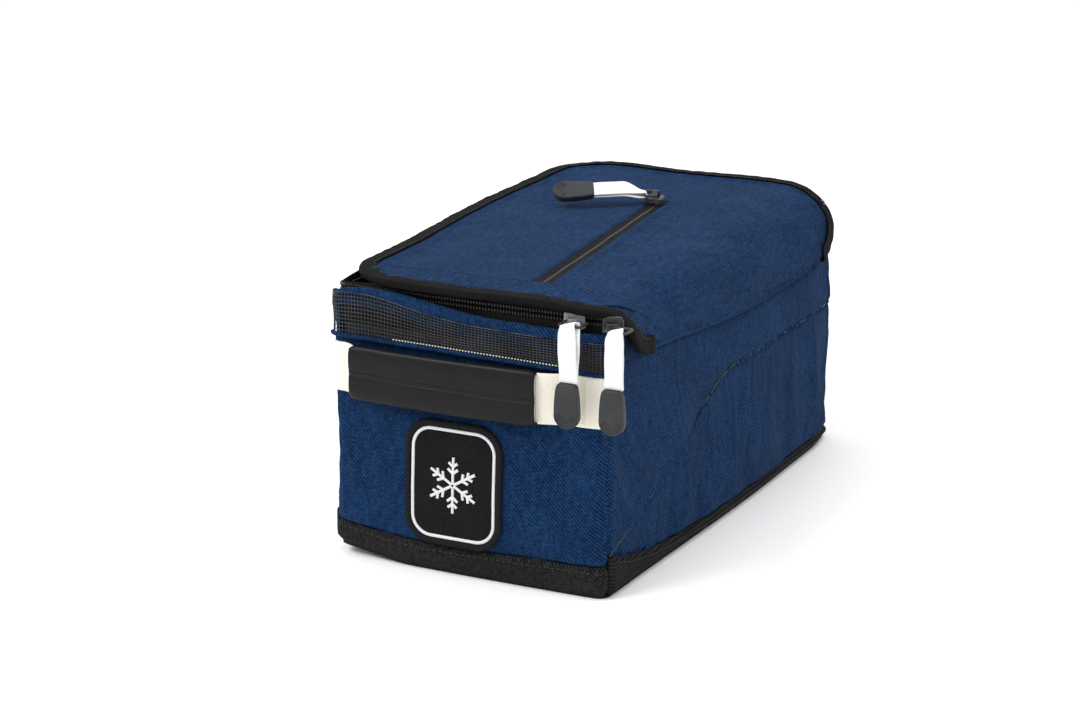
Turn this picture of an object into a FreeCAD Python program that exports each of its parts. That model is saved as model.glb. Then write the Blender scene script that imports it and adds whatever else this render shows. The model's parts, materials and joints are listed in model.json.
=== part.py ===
import FreeCAD, Part

import math
import os

import Sketcher

# A small sports kit bag, in millimetres. +X is the bag's right as seen from its front,
# +Y runs to its back and +Z is up. The front faces -Y. The origin is on the ground under
# the middle of the base. The lid turns up about the seam along the top of the right side.

DRIVING = [
    ("width", 156, "outside width of the body"),
    ("length", 293, "outside length of the body"),
    ("rim_height", 134, "top of the front, left and back walls"),
    ("wall", 1.6, "thickness of the outer cloth with its foam"),
    ("lining_thickness", 0.6, "thickness of the lining cloth"),
    ("base_thickness", 1.6, "thickness of the base cloth"),
    ("board_thickness", 2, "thickness of the stiffening board"),
    ("band_thickness", 1.2, "thickness of the bands round the foot"),
    ("end_band_height", 15, "height of the front and back bands"),
    ("side_band_front", 21, "height of a side band at its front corner"),
    ("side_band_rear", 7, "height of a side band along its rear part"),
    ("side_band_slope", 80, "length over which a side band tapers"),
    ("hinge_drop", 22, "from the rim down to the lid seam on the right side"),
    ("seam_above", 1.2, "gap from the lid seam up to the lid cloth"),
    ("seam_below", 1.8, "gap from the lid seam down to the side cloth"),
    ("corner_foot", 36, "foot of a raised right corner along the side"),
    ("corner_head", 10, "head of a raised right corner along the side"),
    ("pocket_seam_drop", 28.2, "from the top of the right side down to its level seam"),
    ("pocket_seam_start", 16, "height at which the curved seam leaves the front corner"),
    ("pocket_seam_rise", 70, "length of the straight rise of the curved seam"),
    ("pocket_seam_knee", 42, "height of the curved seam at the end of its rise"),
    ("pocket_seam_bend", 80, "length of the bend of the curved seam"),
    ("top_strip_height", 4, "height of the strip above the vent mesh"),
    ("vent_height", 15.5, "height of the vent mesh"),
    ("piping_height", 1.5, "height of the piping under the vent mesh"),
    ("piping_depth", 0.8, "how far that piping stands out"),
    ("braid_height", 1.2, "height of the light braid on the vent mesh"),
    ("braid_depth", 0.5, "how far that braid stands out"),
    ("zip_inset", 5, "from the wall's outside to the main zip's tape"),
    ("zip_rise", 5, "from the rim up to where the two halves of the main zip meet"),
    ("zip_gap", 0.4, "gap between the two rows of the coil"),
    ("zip_end_inset", 3, "from the right wall's outside to the ends of the main zip"),
    ("tape_thickness", 0.8, "thickness of a zip tape"),
    ("tape_depth", 17, "height of the body's half of the main zip tape"),
    ("coil_height", 2.4, "height of one row of the coil"),
    ("coil_depth", 1.6, "how far the coil stands off its tape"),
    ("stop_length", 2, "length of a zip's end stop"),
    ("facing_thickness", 1.6, "thickness of the cloth turned in over the rim"),
    ("lid_rise", 9, "from the middle of the main zip up to the top of the lid"),
    ("lid_thickness", 1.6, "thickness of the lid cloth"),
    ("lid_roll", 12, "outside radius with which the lid turns down to its seam"),
    ("lid_corner_drop", 3, "from the lid's top down to its cut-away over the raised corners"),
    ("lid_over_front", 2, "how far the lid stands past the front and back walls"),
    ("lid_over_left", 6, "how far the lid stands past the left wall"),
    ("binding_clearance", 0.3, "between the lid's binding and the main zip's tape"),
    ("binding_wrap", 0.8, "thickness of the binding over the lid's edge"),
    ("front_band_width", 17, "width of the band across the front of the lid"),
    ("front_band_thickness", 0.8, "thickness of that band"),
    ("pocket_zip_x", 7, "place of the lid pocket's zip across the lid"),
    ("pocket_zip_skew", 6.4, "degrees by which the pocket zip leans right towards the front"),
    ("pocket_zip_width", 8, "width of the lid pocket's slit"),
    ("pocket_zip_inset", 81.5, "from the lid's back edge to the rear end of its pocket zip"),
    ("pocket_zip_gap", 0.2, "gap between the two sides of the pocket zip"),
    ("lining_drop", 0.2, "gap between the lid cloth and the lid lining"),
    ("handle_drop", 14.5, "from the vent mesh down to the middle of the handle"),
    ("webbing_width", 25.4, "width of the handle webbing"),
    ("webbing_thickness", 1.6, "thickness of the handle webbing"),
    ("handle_reach", 8.9, "from the front wall to the outside of the sleeve"),
    ("sleeve_thickness", 4, "thickness of the padded sleeve"),
    ("sleeve_skin", 0.6, "how far the sleeve stands past each edge of the webbing"),
    ("tab_inset", 3, "from the body's side to the outer end of a sewn tab"),
    ("left_tab_length", 7.7, "length of the left sewn tab"),
    ("right_tab_length", 15, "length of the right sewn tab"),
    ("left_bare_length", 7.3, "from the left tab to the sleeve"),
    ("right_bare_length", 18, "from the right tab to the sleeve"),
    ("strap_clearance", 0.3, "gap between the moving strap and what is sewn down"),
    ("ramp_right", 2, "how far the webbing is level past the sleeve's right end"),
    ("ramp_left", 2, "how far the webbing is level inside the sleeve's left end"),
    ("badge_x", -5.5, "middle of the badge across the front"),
    ("badge_rise", 1.5, "from the front band up to the badge"),
    ("badge_width", 53, "width of the badge"),
    ("badge_height", 63, "height of the badge"),
    ("badge_round", 14, "corner radius of the badge"),
    ("badge_thickness", 1.4, "thickness of the badge cloth"),
    ("badge_margin", 3.2, "from the badge's edge to its border line"),
    ("badge_line", 1.6, "width of the border line and of the motif's arms"),
    ("thread_height", 0.6, "height of the badge's embroidery"),
    ("motif_radius", 16, "length of one arm of the motif"),
    ("left_slider_back", 16.5, "from the zip's end back to its left slider"),
    ("right_slider_past", 3.5, "from the zip's end on to its right slider"),
    ("pocket_slider_back", 7, "from the rear end of the pocket zip to its slider"),
    ("slider_length", 11, "length of a zip slider along its zip"),
    ("slider_width", 9, "width of a zip slider across its zip"),
    ("slider_depth", 2.8, "thickness of a zip slider"),
    ("slider_play", 0.4, "gap between a slider and its coil"),
    ("crown_depth", 4, "height of the slider's crown"),
    ("crown_width", 4.8, "width of the slider's crown, across the hole for the loop"),
    ("crown_length", 2, "length of the slider's crown, along the hole for the loop"),
    ("wire", 1.4, "thickness of the pull's wire loop"),
    ("loop_play", 0.35, "gap between the wire loop and the crown's hole"),
    ("loop_width", 12.6, "outside width of the wire loop"),
    ("front_loop_reach", 9, "how far the front pulls' loops reach out"),
    ("pocket_loop_reach", 7, "how far the pocket pull's loop reaches out"),
    ("ribbon_width", 9.4, "width of a pull's ribbon"),
    ("ribbon_thickness", 1.6, "thickness of a pull's doubled ribbon"),
    ("ribbon_length", 27, "length of a pull's ribbon"),
    ("grip_width", 13, "width of a pull's grip at its free end"),
    ("grip_neck", 11.4, "width of a pull's grip at the ribbon"),
    ("grip_length", 22, "length of a pull's grip"),
    ("grip_thickness", 4, "thickness of a pull's grip"),
    ("corner_pull_lean", 3.5, "how far the right front pull hangs to the right of its slider"),
    ("pocket_pull_turn", 28, "degrees by which the pocket pull points forward of straight left"),
    ("pocket_pull_tip", 2.5, "degrees by which the pocket pull slopes down to its free end"),
    ("pocket_hole_width", 3.2, "width of the hole in the pocket slider's crown"),
]

DERIVED = [
    ("half_width", "=width / 2"),
    ("half_length", "=length / 2"),
    ("inner_half_width", "=half_width - wall"),
    ("inner_half_length", "=half_length - wall"),
    ("floor_level", "=base_thickness + board_thickness"),
    ("hinge_height", "=rim_height - hinge_drop"),
    ("side_top", "=hinge_height - seam_below"),
    ("pocket_seam_height", "=side_top - pocket_seam_drop"),
    ("vent_high", "=rim_height - top_strip_height"),
    ("vent_low", "=vent_high - vent_height"),
    ("zip_level", "=rim_height + zip_rise"),
    ("lid_top", "=zip_level + lid_rise"),
    ("lid_corner_level", "=lid_top - lid_corner_drop"),
    ("tape_out_y", "=half_length - zip_inset"),
    ("tape_in_y", "=tape_out_y - tape_thickness"),
    ("tape_out_x", "=half_width - zip_inset"),
    ("tape_in_x", "=tape_out_x - tape_thickness"),
    ("zip_end_x", "=half_width - zip_end_inset"),
    ("lower_row_top", "=zip_level - zip_gap / 2"),
    ("upper_row_foot", "=zip_level + zip_gap / 2"),
    ("lid_under", "=lid_top - lid_thickness"),
    ("lid_front", "=half_length + lid_over_front"),
    ("binding_width", "=lid_front - half_length + binding_wrap + zip_inset - binding_clearance"),
    ("lid_left", "=half_width + lid_over_left"),
    ("coil_face_y", "=tape_out_y + coil_depth"),
    ("slider_back_y", "=coil_face_y + slider_play"),
    ("slider_face_y", "=slider_back_y + slider_depth"),
    ("pivot_y", "=slider_face_y + crown_depth / 2"),
    ("pocket_zip_front", "=-lid_front + binding_width + front_band_width"),
    ("pocket_zip_rear", "=lid_front - pocket_zip_inset"),
    ("pocket_slider_y", "=pocket_zip_rear - pocket_slider_back"),
    ("left_slider_x", "=zip_end_x - left_slider_back"),
    ("right_slider_x", "=zip_end_x + right_slider_past"),
    ("pocket_slider_foot", "=lid_top + slider_play"),
    ("pocket_slider_top", "=pocket_slider_foot + slider_depth"),
    ("pocket_pivot", "=pocket_slider_top + crown_depth / 2"),
    ("handle_middle", "=vent_low - handle_drop"),
    ("tab_end", "=half_width - tab_inset"),
    ("tab_left_inner", "=-tab_end + left_tab_length"),
    ("tab_right_inner", "=tab_end - right_tab_length"),
    ("sleeve_left", "=tab_left_inner + left_bare_length"),
    ("sleeve_right", "=tab_right_inner - right_bare_length"),
    ("sleeve_width", "=webbing_width + 2 * sleeve_skin"),
    ("badge_z", "=end_band_height + badge_rise + badge_height / 2"),
    ("sleeve_front", "=half_length + handle_reach"),
    ("sleeve_back", "=sleeve_front - sleeve_thickness"),
    ("core_front", "=sleeve_front - (sleeve_thickness - webbing_thickness) / 2"),
    ("core_back", "=core_front - webbing_thickness"),
]

CLOSED = 0.001  # an outline whose ends are nearer than this is already closed

doc = FreeCAD.newDocument("sports_kit_bag")
sheet = doc.addObject("Spreadsheet::Sheet", "dims")
NAMES = sorted((row[0] for row in DRIVING + DERIVED), key=len, reverse=True)
NODES = []


def fill_sheet():
    """Write the driving sizes as plain numbers and what follows from them as formulas."""
    for number, (alias, value, note) in enumerate(DRIVING, start=1):
        sheet.set(f"A{number}", note)
        sheet.set(f"B{number}", str(value))
        sheet.setAlias(f"B{number}", alias)
    doc.recompute()
    for number, (alias, formula) in enumerate(DERIVED, start=len(DRIVING) + 1):
        sheet.set(f"B{number}", formula)
        sheet.setAlias(f"B{number}", alias)
        doc.recompute()


def size(alias):
    """A size from the sheet, as a number."""
    return float(sheet.get(alias))


def bound(words):
    """The expression with every alias named as a cell of the sheet."""
    out, word = [], ""
    for letter in words + " ":
        if letter.isalpha() or letter == "_":
            word += letter
            continue
        out.append(f"dims.{word}" if word in NAMES else word)
        out.append(letter)
        word = ""
    return "".join(out).strip()


def node(thing, name):
    """Mark an object as a sub-part of the bag."""
    thing.Label = name
    NODES.append(thing)
    return thing


def block(name, x, y, z):
    """A box whose two sides on each axis are expressions."""
    box = doc.addObject("Part::Box", name)
    sides = (("Length", "x", x), ("Width", "y", y), ("Height", "z", z))
    for edge, axis, (low, high) in sides:
        box.setExpression(edge, bound(f"({high}) - ({low})"))
        box.setExpression(f"Placement.Base.{axis}", bound(low))
    return box


def group(name, pieces):
    """Several separate solids as one sub-part."""
    made = doc.addObject("Part::Compound", name)
    made.Links = pieces
    return made


def cut(name, base, tool):
    """One object less another."""
    made = doc.addObject("Part::Cut", name)
    made.Base = base
    made.Tool = tool
    return made


def mirrored(name, source, normal):
    """A copy reflected in the plane through the origin with this normal."""
    made = doc.addObject("Part::Mirroring", name)
    made.Source = source
    made.Normal = normal
    return made


def plate(name, outline, normal, low, high):
    """A flat plate: an outline in the plane square to an axis, between two heights on it.

    The outline is a list of points, each a pair of numbers on the other two axes in
    X, Y, Z order. A point with three pairs is an arc: from the point before it, through
    the first pair, to the second.
    """
    def at(pair):
        values = list(pair)
        values.insert("xyz".index(normal), low)
        return FreeCAD.Vector(*values)

    edges, here = [], at(outline[0])
    for step in outline[1:] + outline[:1]:
        if isinstance(step[0], tuple):
            through, there = at(step[0]), at(step[1])
            edges.append(Part.Arc(here, through, there).toShape())
        elif at(step).distanceToPoint(here) > CLOSED:
            there = at(step)
            edges.append(Part.LineSegment(here, there).toShape())
        here = there
    along = FreeCAD.Vector(*[high - low if axis == normal else 0 for axis in "xyz"])
    made = doc.addObject("Part::Feature", name)
    made.Shape = Part.Face(Part.Wire(edges)).extrude(along)
    made.Placement = FreeCAD.Placement()
    return made


def corner_arc(centre, radius, start):
    """A quarter turn, anticlockwise from an angle in degrees, as a middle and an end."""
    return tuple(
        (centre[0] + radius * math.cos(math.radians(angle)),
         centre[1] + radius * math.sin(math.radians(angle)))
        for angle in (start + 45, start + 90)
    )


def rounded(middle, width, height, radius):
    """A rectangle with round corners, as an outline."""
    x, z = width / 2 - radius, height / 2 - radius
    outline = [(middle[0] + width / 2, middle[1] - z)]
    for dx, dz, start in ((x, z, 0), (-x, z, 90), (-x, -z, 180), (x, -z, 270)):
        centre = (middle[0] + dx, middle[1] + dz)
        angle = math.radians(start)
        outline.append((centre[0] + radius * math.cos(angle), centre[1] + radius * math.sin(angle)))
        outline.append(corner_arc(centre, radius, start))
    return outline


def walls():
    """The cloth walls of the body, its foot bands, its board and its lining."""
    across = ("-half_width", "half_width")
    along = ("-inner_half_length", "inner_half_length")
    front = ("-half_length", "-inner_half_length")
    back = ("inner_half_length", "half_length")
    node(block("base_panel", across, ("-half_length", "half_length"), ("0", "base_thickness")),
         "base_panel")
    node(block("base_board", ("-inner_half_width", "inner_half_width"), along,
               ("base_thickness", "floor_level")), "base_board")
    node(block("front_panel", across, front, ("base_thickness", "vent_low")), "front_panel")
    node(block("vent_mesh", across, front, ("vent_low", "vent_high")), "vent_mesh")
    node(block("front_top_strip", across, front, ("vent_high", "rim_height")), "front_top_strip")
    node(block("back_panel", across, back, ("base_thickness", "rim_height")), "back_panel")
    outer = block("lining_outside", ("-inner_half_width", "inner_half_width"), along,
                  ("floor_level", "side_top"))
    hollow = block("lining_hollow",
                   ("-inner_half_width + lining_thickness", "inner_half_width - lining_thickness"),
                   ("-inner_half_length + lining_thickness",
                    "inner_half_length - lining_thickness"),
                   ("floor_level + lining_thickness", "rim_height"))
    node(cut("body_lining", outer, hollow), "body_lining")


def sides():
    """Each side wall in two pieces that meet at a curved seam, and the raised right corners."""
    out, inside = size("half_width"), size("inner_half_width")
    end = size("inner_half_length")
    foot, level = size("base_thickness"), size("pocket_seam_height")
    start, knee = size("pocket_seam_start"), size("pocket_seam_knee")
    rise, bend = size("pocket_seam_rise"), size("pocket_seam_bend")
    crest = -end + rise + bend
    middle = (-end + rise + 0.36 * bend, knee + 0.66 * (level - knee))
    seam = [(-end, start), (-end + rise, knee), (middle, (crest, level)), (end, level)]
    lower = [(-end, foot)] + seam + [(end, foot)]
    tops = {"left": size("rim_height"), "right": size("side_top")}
    for side, sign in (("left", -1), ("right", 1)):
        low, high = sorted((sign * inside, sign * out))
        node(plate(f"{side}_side_lower_panel", lower, "x", low, high), f"{side}_side_lower_panel")
        back_to_front = [(end, level), (crest, level), (middle, (-end + rise, knee)), (-end, start)]
        upper = [(-end, tops[side]), (end, tops[side])] + back_to_front
        node(plate(f"{side}_side_upper_panel", upper, "x", low, high), f"{side}_side_upper_panel")
    rim, side_top = size("rim_height"), size("side_top")
    raised = [
        (-end, side_top),
        (-end + size("corner_foot"), side_top),
        (-end + size("corner_head"), rim),
        (-end, rim),
    ]
    front = plate("front_right_corner", raised, "x", inside, out)
    rear = mirrored("back_right_corner", front, FreeCAD.Vector(0, 1, 0))
    node(front, "front_right_corner")
    node(rear, "back_right_corner")


def foot_bands():
    """The four black bands round the foot of the bag."""
    wide = ("-half_width - band_thickness", "half_width + band_thickness")
    height = ("0", "end_band_height")
    node(block("front_base_band", wide, ("-half_length - band_thickness", "-half_length"),
               height), "front_base_band")
    node(block("back_base_band", wide, ("half_length", "half_length + band_thickness"),
               height), "back_base_band")
    end, out = size("half_length"), size("half_width")
    tall, short = size("side_band_front"), size("side_band_rear")
    turn = -end + size("side_band_slope")
    outline = [(-end, 0), (end, 0), (end, short), (turn, short), (-end, tall)]
    right = plate("right_base_band", outline, "x", out, out + size("band_thickness"))
    node(right, "right_base_band")
    node(mirrored("left_base_band", right, FreeCAD.Vector(1, 0, 0)), "left_base_band")


def three_runs(name, out_x, in_x, out_y, in_y, right, z):
    """Three straight strips, along the front, the left and the back of the bag."""
    runs = [
        block(f"{name}_front", (f"-({out_x})", right), (f"-({out_y})", f"-({in_y})"), z),
        block(f"{name}_left", (f"-({out_x})", f"-({in_x})"), (f"-({in_y})", in_y), z),
        block(f"{name}_back", (f"-({out_x})", right), (in_y, out_y), z),
    ]
    return group(name, runs)


def main_zip():
    """The zip round the mouth: one half on the body, one on the lid, and its end stops."""
    tape = ("tape_out_x", "tape_in_x", "tape_out_y", "tape_in_y", "zip_end_x")
    coil = ("tape_out_x + coil_depth", "tape_out_x", "tape_out_y + coil_depth", "tape_out_y",
            "zip_end_x - stop_length")
    node(three_runs("rim_facing", "inner_half_width", "tape_out_x", "inner_half_length",
                    "tape_out_y", "inner_half_width",
                    ("rim_height - facing_thickness", "rim_height")), "rim_facing")
    node(three_runs("body_zip_tape", *tape, ("lower_row_top - tape_depth", "lower_row_top")),
         "body_zip_tape")
    node(three_runs("body_zip_coil", *coil, ("lower_row_top - coil_height", "lower_row_top")),
         "body_zip_coil")
    lid_runs = three_runs("lid_tape_runs", *tape, ("upper_row_foot", "lid_under"))
    node(cut("lid_zip_tape", lid_runs, over_lid()), "lid_zip_tape")
    node(three_runs("lid_zip_coil", *coil, ("upper_row_foot", "upper_row_foot + coil_height")),
         "lid_zip_coil")
    x = ("zip_end_x - stop_length", "zip_end_x")
    z = ("lower_row_top - coil_height", "lower_row_top")
    stops = [
        block("zip_stop_front", x, ("-coil_face_y", "-tape_out_y"), z),
        block("zip_stop_back", x, ("tape_out_y", "coil_face_y"), z),
    ]
    node(group("body_zip_stops", stops), "body_zip_stops")


def vent_trim():
    """The piping under the vent mesh and the light braid along the mesh's lower edge."""
    across = ("-half_width + zip_inset", "half_width - zip_inset")
    node(block("vent_piping", across, ("-half_length - piping_depth", "-half_length"),
               ("vent_low - piping_height", "vent_low")), "vent_piping")
    node(block("vent_braid", across, ("-half_length - braid_depth", "-half_length"),
               ("vent_low", "vent_low + braid_height")), "vent_braid")


def lid_outline(grow):
    """The lid's section square to the hinge: flat, then rolled down to the seam.

    It is grown by this much over both faces, and along neither end.
    """
    left, out, top = -size("lid_left"), size("half_width"), size("lid_top")
    radius, thick = size("lid_roll"), size("lid_thickness")
    foot = size("hinge_height") + size("seam_above")
    centre = (out - radius, top - radius)
    outside, inside = radius + grow, radius - thick - grow
    slant = math.sqrt(0.5)
    return [
        (left, centre[1] + inside),
        (centre[0], centre[1] + inside),
        ((centre[0] + inside * slant, centre[1] + inside * slant), (centre[0] + inside, centre[1])),
        (centre[0] + inside, foot),
        (centre[0] + outside, foot),
        (centre[0] + outside, centre[1]),
        ((centre[0] + outside * slant, centre[1] + outside * slant),
         (centre[0], centre[1] + outside)),
        (left, centre[1] + outside),
    ]


def lid_corner(name, room):
    """What is cut from each right corner of the lid to clear the body's raised corner."""
    end, out = size("inner_half_length"), size("half_width")
    low, far = size("side_top") - room, 2 * size("half_length")
    level = size("lid_corner_level")
    outline = [
        (-end + size("corner_foot") + room, low),
        (-end + size("corner_foot") + room, size("side_top") + room),
        (-end + size("corner_head") + room, level),
        (-far, level),
        (-far, low),
    ]
    front = plate(f"{name}_front", outline, "x", 0, 2 * out)
    return group(name, [front, mirrored(f"{name}_back", front, FreeCAD.Vector(0, 1, 0))])


def over_lid():
    """Everything above the lid's underside, to trim what is sewn to it."""
    far, top = 2 * size("half_length"), 2 * size("lid_top")
    path = lid_outline(0)[1:4]
    outline = [(-far, path[0][1]), *path[:-1], (path[1][1][0], size("rim_height")),
               (far, size("rim_height")), (far, top), (-far, top)]
    return plate("over_lid", outline, "y", -far, far)


def lid():
    """The lid's cloth with the pocket's slit, its front band, its binding and its lining."""
    end = size("lid_front")
    room = size("seam_above") + size("seam_below")
    whole = plate("lid_whole", lid_outline(0), "y", -end, end)
    slit = block("pocket_slit",
                 ("pocket_zip_x - pocket_zip_width / 2", "pocket_zip_x + pocket_zip_width / 2"),
                 ("pocket_zip_front", "pocket_zip_rear"),
                 ("lid_under - lid_thickness", "lid_top + lid_thickness"))
    shaped = cut("lid_less_corners", whole, lid_corner("lid_corners", room))
    node(cut("lid_panel", shaped, with_pocket_zip(slit)), "lid_panel")

    wrap, width = size("binding_wrap"), size("binding_width")
    reach = width - wrap
    thick = plate("binding_front_stock", lid_outline(wrap), "y", -end - wrap, -end + reach)
    back = mirrored("binding_back_stock", thick, FreeCAD.Vector(0, 1, 0))
    side = block("binding_left_stock", ("-lid_left - binding_wrap",
                                        "-lid_left - binding_wrap + binding_width"),
                 ("-lid_front - binding_wrap", "lid_front + binding_wrap"),
                 ("lid_under - binding_wrap", "lid_top + binding_wrap"))
    stock = doc.addObject("Part::MultiFuse", "binding_stock")
    stock.Shapes = [thick, back, side]
    trimmed = cut("binding_trimmed", stock, lid_corner("binding_corners", room))
    plain = plate("lid_for_binding", lid_outline(0), "y", -end, end)
    node(cut("lid_binding", trimmed, plain), "lid_binding")

    node(block("lid_front_band",
               ("-lid_left + binding_width", "half_width - lid_roll"),
               ("-lid_front + binding_width", "-lid_front + binding_width + front_band_width"),
               ("lid_top", "lid_top + front_band_thickness")), "lid_front_band")
    node(block("lid_lining", ("-tape_in_x", "half_width - lid_roll"), ("-tape_in_y", "tape_in_y"),
               ("lid_under - lining_drop - tape_thickness - lining_thickness",
                "lid_under - lining_drop - tape_thickness")), "lid_lining")


def skewed(point):
    """A place on the lid turned with the pocket zip about the zip's rear end."""
    rear = FreeCAD.Vector(size("pocket_zip_x"), size("pocket_zip_rear"), 0)
    return pocket_turn().multVec(point - rear) + rear


def pocket_turn():
    """The turn of the pocket zip about the vertical."""
    return FreeCAD.Rotation(FreeCAD.Vector(0, 0, 1), size("pocket_zip_skew"))


def with_pocket_zip(thing):
    """A piece of the pocket zip, made along +Y, turned to its real direction."""
    made = doc.addObject("Part::Compound", f"{thing.Name}_turned")
    made.Links = [thing]
    made.Placement = FreeCAD.Placement(skewed(FreeCAD.Vector()), pocket_turn())
    return made


def pocket_zip():
    """The straight zip in the lid: two tapes with their coils, and its end stops."""
    y = ("pocket_zip_front", "pocket_zip_rear")
    edge, middle = "pocket_zip_width / 2", "pocket_zip_gap / 2"
    tape_z = ("lid_under - tape_thickness / 2", "lid_under + tape_thickness / 2")
    coil_z = ("lid_under + tape_thickness / 2", "lid_top")
    runs_y = ("pocket_zip_front + stop_length", "pocket_zip_rear - stop_length")
    coils = []
    for side, sign in (("left", "-"), ("right", "+")):
        inner, outer = f"pocket_zip_x {sign} {middle}", f"pocket_zip_x {sign} {edge}"
        row = f"pocket_zip_x {sign} (pocket_zip_gap / 2 + coil_depth)"
        tape_x = (outer, inner) if sign == "-" else (inner, outer)
        coil_x = (row, inner) if sign == "-" else (inner, row)
        node(with_pocket_zip(block(f"pocket_tape_{side}", tape_x, y, tape_z)),
             f"pocket_zip_{side}_tape")
        coils.append(block(f"pocket_coil_{side}", coil_x, runs_y, coil_z))
    node(with_pocket_zip(group("pocket_coils", coils)), "pocket_zip_coil")
    x = ("pocket_zip_x - coil_depth", "pocket_zip_x + coil_depth")
    stops = [
        block("pocket_stop_front", x, ("pocket_zip_front", "pocket_zip_front + stop_length"),
              coil_z),
        block("pocket_stop_rear", x, ("pocket_zip_rear - stop_length", "pocket_zip_rear"),
              coil_z),
    ]
    node(with_pocket_zip(group("pocket_stops", stops)), "pocket_zip_stops")


def handle():
    """The sewn tabs, the webbing that stands off the front and the sleeve round it."""
    z = ("handle_middle - webbing_width / 2", "handle_middle + webbing_width / 2")
    y = ("-half_length - webbing_thickness", "-half_length")
    node(block("handle_left_tab", ("-tab_end", "tab_left_inner"), y, z), "handle_left_tab")
    node(block("handle_right_tab", ("tab_right_inner", "tab_end"), y, z), "handle_right_tab")

    gap, thick = size("strap_clearance"), size("webbing_thickness")
    left, right = size("tab_left_inner") + gap, size("tab_right_inner") - gap
    near = -size("half_length") - gap
    front, back = -size("core_front"), -size("core_back")
    level_left = size("sleeve_left") + size("ramp_left")
    level_right = size("sleeve_right") + size("ramp_right")
    route = [
        (left, near),
        (left, near - thick),
        (level_left, front),
        (level_right, front),
        (right, near - thick),
        (right, near),
        (level_right - thick, back),
        (level_left + thick, back),
    ]
    half = size("webbing_width") / 2
    low, high = size("handle_middle") - half, size("handle_middle") + half
    node(plate("handle_webbing", route, "z", low, high), "handle_webbing")

    sleeve = block("sleeve_solid", ("sleeve_left", "sleeve_right"),
                   ("-sleeve_front", "-sleeve_back"),
                   ("handle_middle - sleeve_width / 2", "handle_middle + sleeve_width / 2"))
    room = plate("sleeve_room", route, "z", low, high)
    node(cut("handle_sleeve", sleeve, room), "handle_sleeve")


def badge():
    """The sewn badge: its cloth, its border line and its six-armed snow motif."""
    middle = (size("badge_x"), size("badge_z"))
    width, height, radius = size("badge_width"), size("badge_height"), size("badge_round")
    face = -size("half_length") - size("badge_thickness")
    top = face - size("thread_height")
    node(plate("badge_backing", rounded(middle, width, height, radius), "y", face,
               -size("half_length")), "badge_backing")
    margin, line = size("badge_margin"), size("badge_line")
    ring = []
    for name, inset in (("badge_line_outside", margin), ("badge_line_inside", margin + line)):
        outline = rounded(middle, width - 2 * inset, height - 2 * inset, radius - inset)
        ring.append(plate(name, outline, "y", top, face))
    node(cut("badge_border", *ring), "badge_border")
    arms = []
    for number in range(3):
        arm = doc.addObject("Part::Box", f"motif_arm_{number}")
        arm.setExpression("Length", bound("2 * motif_radius"))
        arm.setExpression("Width", bound("thread_height"))
        arm.setExpression("Height", bound("badge_line"))
        turn = FreeCAD.Rotation(FreeCAD.Vector(0, 1, 0), 30 + 60 * number)
        corner = FreeCAD.Vector(-size("motif_radius"), 0, -line / 2)
        place = FreeCAD.Vector(middle[0], top, middle[1])
        arm.Placement = FreeCAD.Placement(place + turn.multVec(corner), turn)
        arms.append(arm)
    motif = doc.addObject("Part::MultiFuse", "badge_motif")
    motif.Shapes = arms
    node(motif, "badge_motif")


def body_plane(body, role):
    """One of a body's own origin planes."""
    return next(part for part in body.Origin.OriginFeatures if part.Role == role)


def rectangle_sketch(body, name, plane, width, height, lift=None):
    """A rectangle centred on the body's origin, its two sizes bound to the sheet."""
    sketch = body.newObject("Sketcher::SketchObject", name)
    sketch.AttachmentSupport = [(body_plane(body, plane), "")]
    sketch.MapMode = "FlatFace"
    if lift:
        sketch.setExpression("AttachmentOffset.Base.z", bound(lift))
    corners = [(-5, -4), (5, -4), (5, 4), (-5, 4)]
    points = [FreeCAD.Vector(x, y, 0) for x, y in corners]
    for number in range(4):
        sketch.addGeometry(Part.LineSegment(points[number], points[(number + 1) % 4]), False)
    for number in range(4):
        sketch.addConstraint(Sketcher.Constraint("Coincident", number, 2, (number + 1) % 4, 1))
    for number, kind in enumerate(("Horizontal", "Vertical", "Horizontal", "Vertical")):
        sketch.addConstraint(Sketcher.Constraint(kind, number))
    sketch.addConstraint(Sketcher.Constraint("Symmetric", 0, 1, 1, 2, -1, 1))
    wide = sketch.addConstraint(Sketcher.Constraint("DistanceX", 0, 1, 0, 2, 10))
    tall = sketch.addConstraint(Sketcher.Constraint("DistanceY", 1, 1, 1, 2, 8))
    sketch.setExpression(f"Constraints[{wide}]", bound(width))
    sketch.setExpression(f"Constraints[{tall}]", bound(height))
    return sketch


def pad(body, name, sketch, length, backwards=False):
    """Grow a sketch into a solid."""
    feature = body.newObject("PartDesign::Pad", name)
    feature.Profile = sketch
    feature.setExpression("Length", bound(length))
    feature.Reversed = backwards
    return feature


def slider(name, hole_width):
    """A zip slider in its own place: its back on the XY plane, its crown on top with a hole.

    The zip runs along X. The crown's hole for the wire loop runs along X too.
    """
    body = doc.addObject("PartDesign::Body", name)
    plate_sketch = rectangle_sketch(body, f"{name}_plate_outline", "XY_Plane",
                                    "slider_length", "slider_width")
    pad(body, f"{name}_plate", plate_sketch, "slider_depth")
    crown_sketch = rectangle_sketch(body, f"{name}_crown_outline", "XY_Plane",
                                    "crown_length", "crown_width")
    pad(body, f"{name}_crown", crown_sketch, "slider_depth + crown_depth")
    doc.recompute()
    hole = rectangle_sketch(body, f"{name}_hole_outline", "YZ_Plane", hole_width,
                            "wire + 2 * loop_play")
    hole.setExpression("AttachmentOffset.Base.y", bound("slider_depth + crown_depth / 2"))
    before = body.Shape.Volume
    feature = body.newObject("PartDesign::Pocket", f"{name}_hole")
    feature.Profile = hole
    feature.Type = 1
    feature.Midplane = True
    doc.recompute()
    if not body.Shape.Volume < before:
        raise RuntimeError(f"{name}: the crown's hole cuts nothing")
    return node(body, name)


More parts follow.
